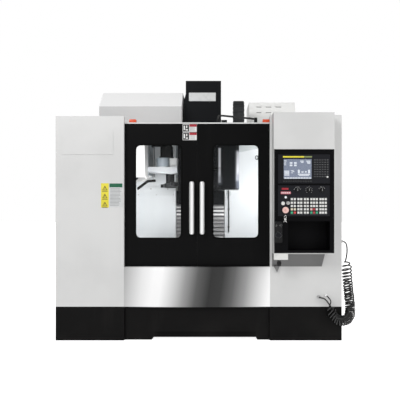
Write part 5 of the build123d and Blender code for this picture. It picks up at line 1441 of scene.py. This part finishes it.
    def below(self) -> None:
        """Clamp knob and gusset under the box, and the pendant's pale marks and finger knob."""
        Batch("underside_knob", BLACK_PLASTIC).turned(
            (0.685, -1.084, 0.724), Side.BOTTOM,
            (
                (0.0, 0.008), (0.010, 0.008), (0.013, 0.014), (0.022, 0.0185), (0.034, 0.0195), (0.046, 0.0165),
                (0.053, 0.009), (0.055, 0.003),
            ), 28,
        ).place()
        Batch("underside_gusset", MID_GREY).prism(
            ((0.655, -0.914, 0.652), (0.707, -0.914, 0.652), (0.684, -0.914, 0.597)), (0.0, -0.020, 0.0), 0.002,
        ).place()
        marks = Batch("pendant_marks", SIGN_WHITE)
        for x, z in ((0.653, 1.006), (0.694, 1.006)):
            marks.plate(self.frame.over(0.032), 0.0004, (x - 0.001, x + 0.001, z, z + 0.007))
            marks.disc(self.frame.over(0.026), 0.0011, PRINT, *circle(x, z, 0.0135, 5, -60.0, 30.0), sides=8)
        marks.place()
        wheel = self.frame.over(0.0314)
        Batch("pendant_wheel_marks", SIGN_WHITE, "pendant_wheel").disc(
            wheel, 0.0009, PRINT, *circle(0.674, 0.934, 0.0235, 20), sides=6,
        ).place()
        Batch("pendant_finger_knob", BLACK_PLASTIC, "pendant_wheel").turned(
            (0.674, wheel.at, 0.950), Side.FRONT,
            ((-0.0005, 0.005), (0.010, 0.0045), (0.014, 0.006), (0.018, 0.004)), 20,
        ).place()

    def build(self) -> None:
        """Makes everything on the panel."""
        self.display()
        self.stripes()
        self.dials()
        self.key_marks()
        self.spare_keys()
        self.screws()
        self.below()


@dataclass
class CabinetSigns:
    """The blank card on the left cabinet and the bare plate on the head cover."""

    front: Face = Face(Side.FRONT, -0.910)
    thick: float = 0.0008

    def build(self) -> None:
        """Makes the card's fields, its lines and the head's plate."""
        film = self.front.over(self.thick)
        for name, finish, spans in (
            ("cabinet_card", CARD_GREY, (-0.7830, -0.6655, 1.166, 1.377)),
            ("cabinet_card_strip", SIGN_YELLOW, (-0.8550, -0.7870, 1.163, 1.377)),
        ):
            Batch(name, finish).plate(self.front, self.thick, spans, radius=0.003).place()
        Batch("cabinet_card_header", SIGN_GREEN).plate(film, PRINT, (-0.7810, -0.6675, 1.341, 1.375)).place()
        marks = Batch("cabinet_card_marks", SIGN_BLACK)
        inner = Batch("cabinet_card_triangles", SIGN_YELLOW)
        for z in (1.316, 1.246, 1.176):
            for batch, half, out in ((marks, 0.023, self.thick), (inner, 0.0155, self.thick + PRINT)):
                low = z + (0.023 - half) * 0.6
                corners = ((-0.821 - half, low), (-0.821 + half, low), (-0.821, low + half * 1.75))
                batch.prism([self.front.point(u, v, out) for u, v in corners], (0.0, -PRINT, 0.0), 0.0)
            marks.plate(film.over(2 * PRINT), PRINT, (-0.8235, -0.8185, z + 0.009, z + 0.026))
            for low in (z - 0.009, z - 0.015):
                marks.plate(film, PRINT, (-0.845, -0.797, low, low + 0.003))
        marks.place()
        inner.place()
        lines = Batch("cabinet_card_lines", SIGN_GREY)
        draw = random.Random(11)
        for z in (1.326 - k * 0.0120 for k in range(13)):
            lines.plate(film, PRINT, (-0.775, draw.uniform(-0.700, -0.675), z, z + 0.0042))
        lines.place()
        plate = Batch("head_plate", CARD_GREY, "head")
        plate.plate(Face(Side.FRONT, -0.520), 0.002, (-0.103, 0.150, 2.169, 2.248), radius=0.004).place()


@dataclass
class Cabin:
    """What is fixed inside the enclosure: wall seams and bolts, lamps, pipes, lips and nozzles."""

    wall: Face = Face(Side.FRONT, 0.235)
    left: Face = Face(Side.RIGHT, -1.2495)
    right: Face = Face(Side.LEFT, 1.2495)
    left_bolts: tuple[float, ...] = (-1.10, -0.92, -0.74, -0.546, -0.365)
    right_bolts: tuple[float, ...] = (0.33, 0.56, 0.80, 1.04)
    head_under: float = 1.470
    nozzle_x: float = 0.088
    nozzle_y: Span = (-0.352, -0.228)

    def bolts(self) -> None:
        """Bolt heads along the seams of the white splash guard, the seams, and two grey plates of painted shade
        on the wall.
        """
        heads = Batch("cabin_bolts", ZINC_BOLT)
        heads.disc(self.wall, 0.0085, 0.006, *((x, 1.366) for x in self.left_bolts), sides=12)
        heads.disc(self.wall, 0.0055, 0.005, *((x + 0.06, 1.303) for x in self.left_bolts), sides=12)
        heads.disc(
            self.wall, 0.0075, 0.005, *((x, 0.700) for x in self.left_bolts),
            *product(self.right_bolts, (1.860, 0.700)), sides=12,
        )
        for face in (self.left, self.right):
            heads.disc(face, 0.0075, 0.005, *product((-0.62, -0.30, 0.02), (0.72, 1.316, 1.86)), sides=12)
        heads.place()
        left, right = (-1.22, -0.30), (0.30, 1.19)
        seams = Batch("cabin_seams", INNER_WHITE).plate(self.wall, 0.0025, (*left, 1.291, 1.400))
        seams.plate(self.wall, 0.0020, (*right, 1.835, 1.885), (*left, 0.680, 0.720), (*right, 0.680, 0.720))
        seams.place()
        # Painted shade: two thin grey plates with sloped edges stand for shadows on the wall.
        shade = Batch("cabin_painted_shade_plates", PAINTED_SHADE_GREY)
        for outline in (
            ((0.402, 1.757), (0.635, 1.806), (0.635, 1.900), (0.402, 1.900)),
            ((0.268, 1.250), (0.316, 1.300), (0.316, 1.354), (0.268, 1.354)),
        ):
            shade.prism([self.wall.point(x, z, 0.0002) for x, z in outline], (0.0, -0.0022, 0.0), 0.0008)
        shade.place()

    def nozzles(self) -> None:
        """Two jointed coolant hoses with brass tips beside the spindle nose."""
        links = Batch("coolant_nozzles", BLACK_PLASTIC, "head")
        tips = Batch("coolant_nozzle_tips", BRASS, "head")
        for y in self.nozzle_y:
            for k in range(3):
                links.turned(
                    (self.nozzle_x, y, self.head_under - 0.014 * k), Side.BOTTOM,
                    ((-0.0005, 0.0065), (0.005, 0.0092), (0.0095, 0.0092), (0.0145, 0.0060)), 18,
                )
            tips.turned(
                (self.nozzle_x, y, self.head_under - 0.041), (-0.12, 0.0, -1.0),
                ((0.0, 0.0075), (0.008, 0.0075), (0.010, 0.0058), (0.024, 0.0030), (0.026, 0.0025)), 18,
            )
        links.place()
        tips.place()

    def pipes(self) -> None:
        """Thin black pipe down the right wall, lifting ring and lamp tubes."""
        line = (
            (0.289, 0.222, 1.430), (0.289, 0.222, 1.360), (0.290, 0.222, 1.150), (0.289, 0.222, 0.950),
            (0.289, 0.226, 0.900),
        )
        Batch("cabin_pipe", BLACK_RUBBER).tube(line, 0.006, 10).place()
        clips = Batch("cabin_pipe_clips", ZINC_BOLT)
        for z in (1.34, 1.14, 0.95):
            clips.block((0.276, 0.302), (0.2285, 0.2352), (z, z + 0.014))
        clips.place()
        unit = circle(0.0, 0.0, 1.0, 13, 90.0, -30.0)
        oval = [(0.591 + 0.016 * across, 0.222, 1.700 + 0.020 * up) for across, up in unit]
        ring = Batch("cabin_lifting_ring", DARK_GREY).tube(oval, 0.0035, 8)
        ring.block((0.586, 0.596), (0.222, 0.2352), (1.716, 1.724)).place()
        tubes, shades = Batch("cabin_lamp_tube", LAMP_WHITE), Batch("cabin_lamp_shade", SATIN_ALLOY)
        for middle in (-0.825, 0.825):
            tubes.block((middle - 0.125, middle + 0.125), (-0.772, -0.744), (1.868, 1.884), 0.003)
            shades.block((middle - 0.145, middle + 0.145), (-0.783, -0.735), (1.884, 1.894), 0.002)
        tubes.place()
        shades.place()

    def lips(self) -> None:
        """Bent black lip and pale guard sheet under the tool magazine."""
        path = ((-0.591, 1.354), (-0.496, 1.425), (-0.425, 1.430))
        outline = [*path, *((x, z - 0.020) for x, z in reversed(path))]
        lip = Batch("magazine_lip", GASKET_RUBBER)
        lip.prism([(x, -0.520, z) for x, z in outline], (0.0, 0.090, 0.0), 0.002).place()
        sheet = ((-0.572, 1.410), (-0.566, 1.407), (-0.474, 1.464), (-0.474, 1.471))
        guard = Batch("magazine_guard", LIGHT_GREY)
        guard.prism([(x, -0.425, z) for x, z in sheet], (0.0, 0.055, 0.0)).place()

    def build(self) -> None:
        """Makes everything inside."""
        self.bolts()
        self.nozzles()
        self.pipes()
        self.lips()


@dataclass
class Roof:
    """Pieces on the door header and over it: rod and blocks, caps' tops and feet, gusset, louvres."""

    header: float = 1.910
    block_y: Span = (-0.836, -0.790)
    caps_x: Span = (-0.587, 0.596)
    louvres_x: tuple[Span, ...] = ((0.619, 0.676), (0.725, 0.790), (0.837, 0.903))
    louvres_z: Span = (2.262, 2.324)

    def build(self) -> None:
        """Makes the pieces, and the louvres of the electrical cabinet with a painted shadow strip under each.
        """
        line = ((0.172, 1.948), (0.170, 1.980), (0.188, 1.9865), (0.350, 1.970), (0.502, 1.954))
        Batch("header_rod", BLACK_RUBBER).tube([(x, -0.812, z) for x, z in line], 0.0085, 12).place()
        blocks = Batch("header_rod_blocks", BLACK_PLASTIC)
        for left, right, top in ((0.158, 0.184, 1.952), (0.202, 0.250, 1.943), (0.492, 0.519, 1.964)):
            blocks.block((left, right), self.block_y, (self.header, top), 0.003)
        blocks.place()
        caps, feet = Batch("header_cap_tops", RED_RUBBER), Batch("header_cap_feet", BLACK_RUBBER)
        for x in self.caps_x:
            z = self.header + 0.006
            caps.block((x - 0.0305, x + 0.0305), (-0.856, -0.800), (z, z + 0.030), 0.005)
            feet.block((x - 0.032, x + 0.032), (-0.858, -0.798), (self.header, self.header + 0.007))
        caps.place()
        feet.place()
        gusset = ((-0.866, self.header), (-0.866, 1.996), (-0.700, 1.966), (-0.700, self.header))
        Batch("right_header_gusset", LIGHT_GREY).prism(
            [(0.631, y, z) for y, z in gusset], (0.003, 0.0, 0.0), 0.0008,
        ).place()
        hoods, hood_shadows = Batch("cabinet_louvres", WARM_WHITE), Batch("cabinet_louvre_painted_shadows", MID_GREY)
        for (left, right), z in product(self.louvres_x, self.louvres_z):
            section = ((0.6402, z - 0.004), (0.632, z - 0.002), (0.6402, z + 0.020))
            corners = [(left - 0.004, y, height) for y, height in section]
            hoods.prism(corners, (right - left + 0.008, 0.0, 0.0), 0.0008)
            # Painted shadow: a grey strip on the face just under each louvre's hood.
            hood_shadows.plate(Face(Side.FRONT, 0.640), 0.0006, (left, right, z - 0.011, z - 0.005))
        hoods.place()
        hood_shadows.place()


@dataclass
class FoldingCover:
    """Steel way cover of the Z axis, whose folds close up as the head comes down."""

    x: Span = (-0.272, 0.242)
    front: float = 0.222
    lip: float = 0.014
    skin: float = 0.006
    bottom: float = 0.620
    top: float = 1.196
    folds: int = 14
    travel: float = 0.500

    def build(self) -> None:
        """Makes the strips, each bent over the one below."""
        cover = Batch("folding_cover", FOLD_STEEL)
        pitch = (self.top - self.bottom) / self.folds
        root, back = self.front + self.lip, self.front + self.lip + self.skin
        for z in (self.bottom + k * pitch for k in range(self.folds)):
            profile = (
                (root, z), (self.front, z + 0.003), (self.front, z + 0.012), (root, z + pitch),
                (back, z + pitch), (back, z),
            )
            corners = [(self.x[0], y, height) for y, height in profile]
            cover.prism(corners, (self.x[1] - self.x[0], 0.0, 0.0), 0.0008)
        piece = cover.place()
        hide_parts("z_cover")
        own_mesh(piece)


@dataclass
class Rear:
    """The unseen sides: louvres and latch of the cabinet door, access panels, tank and chain fittings."""

    door: Face = Face(Side.BACK, 1.140)
    walls: tuple[tuple[str, Face], ...] = (
        ("left", Face(Side.LEFT, -1.2525)), ("right", Face(Side.RIGHT, 1.2525)),
    )
    panel: Spans = (-0.60, 0.10, 0.46, 1.66)
    tank_x: Span = (-1.190, -0.490)
    tank: Face = Face(Side.TOP, 0.436)
    pump: Span = (-0.650, 0.820)
    chain_x: Span = (0.344, 0.459)
    chain_front: float = 0.275
    chain_bend: Point = (0.381, 2.228, 0.106)
    link: float = 0.056

    def cabinet_door(self) -> None:
        """Two louvre fields, the swing handle and its lock."""
        louvres = Batch("cabinet_door_louvres", WARM_WHITE, "electrical_door")
        for x, low, row in product((0.610, 0.810), (0.30, 2.02), range(9)):
            z = low + row * 0.026
            section = ((0.0, -0.0003), (0.0, 0.008), (0.017, -0.0003))
            corners = [self.door.point(x, z + up, out) for up, out in section]
            louvres.prism(corners, (0.165, 0.0, 0.0), 0.0008)
        louvres.place()
        Batch("cabinet_door_handle", BLACK_PLASTIC, "electrical_door").block(
            (0.5765, 0.5995), (self.door.at - 0.0022, self.door.at + 0.007), (1.196, 1.318), 0.003,
        ).place()
        lock = Batch("cabinet_door_lock", ZINC_BOLT, "electrical_door")
        lock.disc(self.door.over(0.007), 0.0085, 0.002, (0.588, 1.213), sides=24, sunk=0.001)
        lock.plate(self.door.over(0.009), 0.0006, (0.5865, 0.5895, 1.208, 1.218)).place()

    def access_panels(self) -> None:
        """A screwed access panel with two flush latches on each side wall."""
        near, far, low, high = self.panel
        for name, wall in self.walls:
            sheet = Batch(f"{name}_access_panel", LIGHT_GREY)
            sheet.plate(wall, 0.003, self.panel, radius=0.03, bevel=0.0012).place()
            Batch(f"{name}_access_seam", GASKET_RUBBER).frame(
                wall, (near - 0.004, far + 0.004, low - 0.004, high + 0.004), 0.034, 0.0038, 0.0012,
            ).place()
            latches = [(near + 0.03, near + 0.07, z - 0.045, z + 0.045) for z in (0.80, 1.32)]
            Batch(f"{name}_access_latches", BLACK_PLASTIC).plate(
                wall.over(0.003), 0.004, *latches, radius=0.01, bevel=0.0015,
            ).place()
            Batch(f"{name}_wall_screws", ZINC_BOLT).disc(
                wall, 0.006, 0.003, *product((-0.82, -0.60, -0.38, -0.16, 0.06, 0.22), (0.33, 1.93)), sides=16,
                bevel=0.0008,
            ).place()

    def coolant(self) -> None:
        """Lid with handle and screws, level glass, drain cock and the pump's terminal box and rings."""
        middle = sum(self.tank_x) / 2
        lid = self.tank.over(0.006)
        spans = (middle - 0.29, middle - 0.01, 0.72, 1.06)
        Batch("tank_lid", LIGHT_GREY).plate(self.tank, 0.006, spans, radius=0.015, bevel=0.002).place()
        screws = Batch("tank_screws", ZINC_BOLT)
        spots = product((middle - 0.275, middle - 0.15, middle - 0.025), (0.735, 1.045))
        screws.disc(lid, 0.006, 0.003, *spots, sides=16, bevel=0.0008)
        grip = ((-0.21, 0.440), (-0.21, 0.478), (-0.15, 0.480), (-0.09, 0.478), (-0.09, 0.440))
        screws.tube([(middle + x, 0.89, z) for x, z in grip], 0.006, 10)
        bolts = circle(*self.pump, 0.083, 6)
        screws.disc(self.tank.over(0.014), 0.007, 0.006, *bolts, sides=6, bevel=0.0008)
        cock = ((0.0, 0.016), (0.012, 0.016), (0.013, 0.011), (0.028, 0.011), (0.030, 0.008))
        screws.turned((-1.140, 1.1198, 0.085), Side.BACK, cock, 20).place()
        glass = [(-0.560, 1.130, z) for z in (0.170, 0.250, 0.330)]
        Batch("tank_level_glass", CLEAR_PANE).tube(glass, 0.006).place()
        bosses = Batch("tank_level_bosses", BLACK_PLASTIC)
        for z in (0.160, 0.330):
            bosses.block((-0.570, -0.550), (1.1198, 1.138), (z, z + 0.018), 0.002)
        bosses.block((-0.622, -0.598), (0.730, 0.752), (0.500, 0.560), 0.003)
        rib = ((0.0, 0.0779), (0.001, 0.0805), (0.004, 0.0805), (0.005, 0.0779))
        for z in (0.645 + k * 0.008 for k in range(5)):
            bosses.turned((*self.pump, z), Side.TOP, rib, 40)
        bosses.place()

    def chain(self) -> None:
        """Cross bars and link pins of the drag chain."""
        low, high = self.chain_x
        y, z, radius = self.chain_bend
        start, end = low + 0.004, high - 0.004
        bars = Batch("chain_bars", CHAIN_GREY)
        for k, shift in product(range(9), (-0.0165, 0.0165)):
            centre = z - (k + 0.5) * self.link + shift
            bars.plate(
                Face(Side.FRONT, self.chain_front), 0.0035, (start, end, centre - 0.0065, centre + 0.0065),
                radius=0.0015, bevel=0.0008,
            )
        for k in range(12):
            angle = math.pi * (k + 0.5) / 12
            across = Vector((0.0, -math.sin(angle), -math.cos(angle))) * 0.0075
            outward = Vector((0.0, -math.cos(angle), math.sin(angle)))
            base = Vector((start, y, z)) + outward * (radius - 0.0006)
            rise = outward * 0.0035
            corners = (base - across, base + across, base + across + rise, base - across + rise)
            bars.prism(corners, (end - start, 0.0, 0.0), 0.0008)
        bars.place()
        inner = radius - 0.022
        spots = [(self.chain_front + 0.022, z - k * self.link - 0.001) for k in range(9)]
        spots += [(y + inner, z - k * self.link - 0.001) for k in range(7)]
        spots += circle(y, z, inner, 5, -60.0, 30.0)
        pins = Batch("chain_pins", DARK_GREY)
        for face in (Face(Side.RIGHT, high), Face(Side.LEFT, low)):
            pins.disc(face, 0.014, 0.0025, *spots, sides=20)
        pins.place()

    def eyebolts(self) -> None:
        """Two lifting eyes on top of the column."""
        eyes = Batch("column_lifting_eyes", ZINC_BOLT)
        shank = ((0.0, 0.028), (0.008, 0.028), (0.010, 0.012), (0.020, 0.011))
        for x in (-0.215, 0.185):
            eyes.turned((x, 0.62, 2.119), Side.TOP, shank, 24)
            eyes.tube([(a, 0.62, b) for a, b in circle(x, 2.160, 0.024, 15, 180.0, -360.0 / 14)], 0.0075, 12)
        eyes.place()

    def build(self) -> None:
        """Makes everything on the unseen sides."""
        self.cabinet_door()
        self.access_panels()
        self.coolant()
        self.chain()
        self.eyebolts()


def main() -> None:
    """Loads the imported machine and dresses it."""
    logging.basicConfig(level=logging.INFO, format="%(name)s: %(message)s")
    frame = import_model()
    Studio().build()
    dress_nodes(frame["nodes"])
    CurlyHose().build()
    DoorFittings().build()
    OperatorPanel().build()
    CabinetSigns().build()
    Cabin().build()
    Roof().build()
    FoldingCover().build()
    Rear().build()


if __name__ == "__main__":
    main()
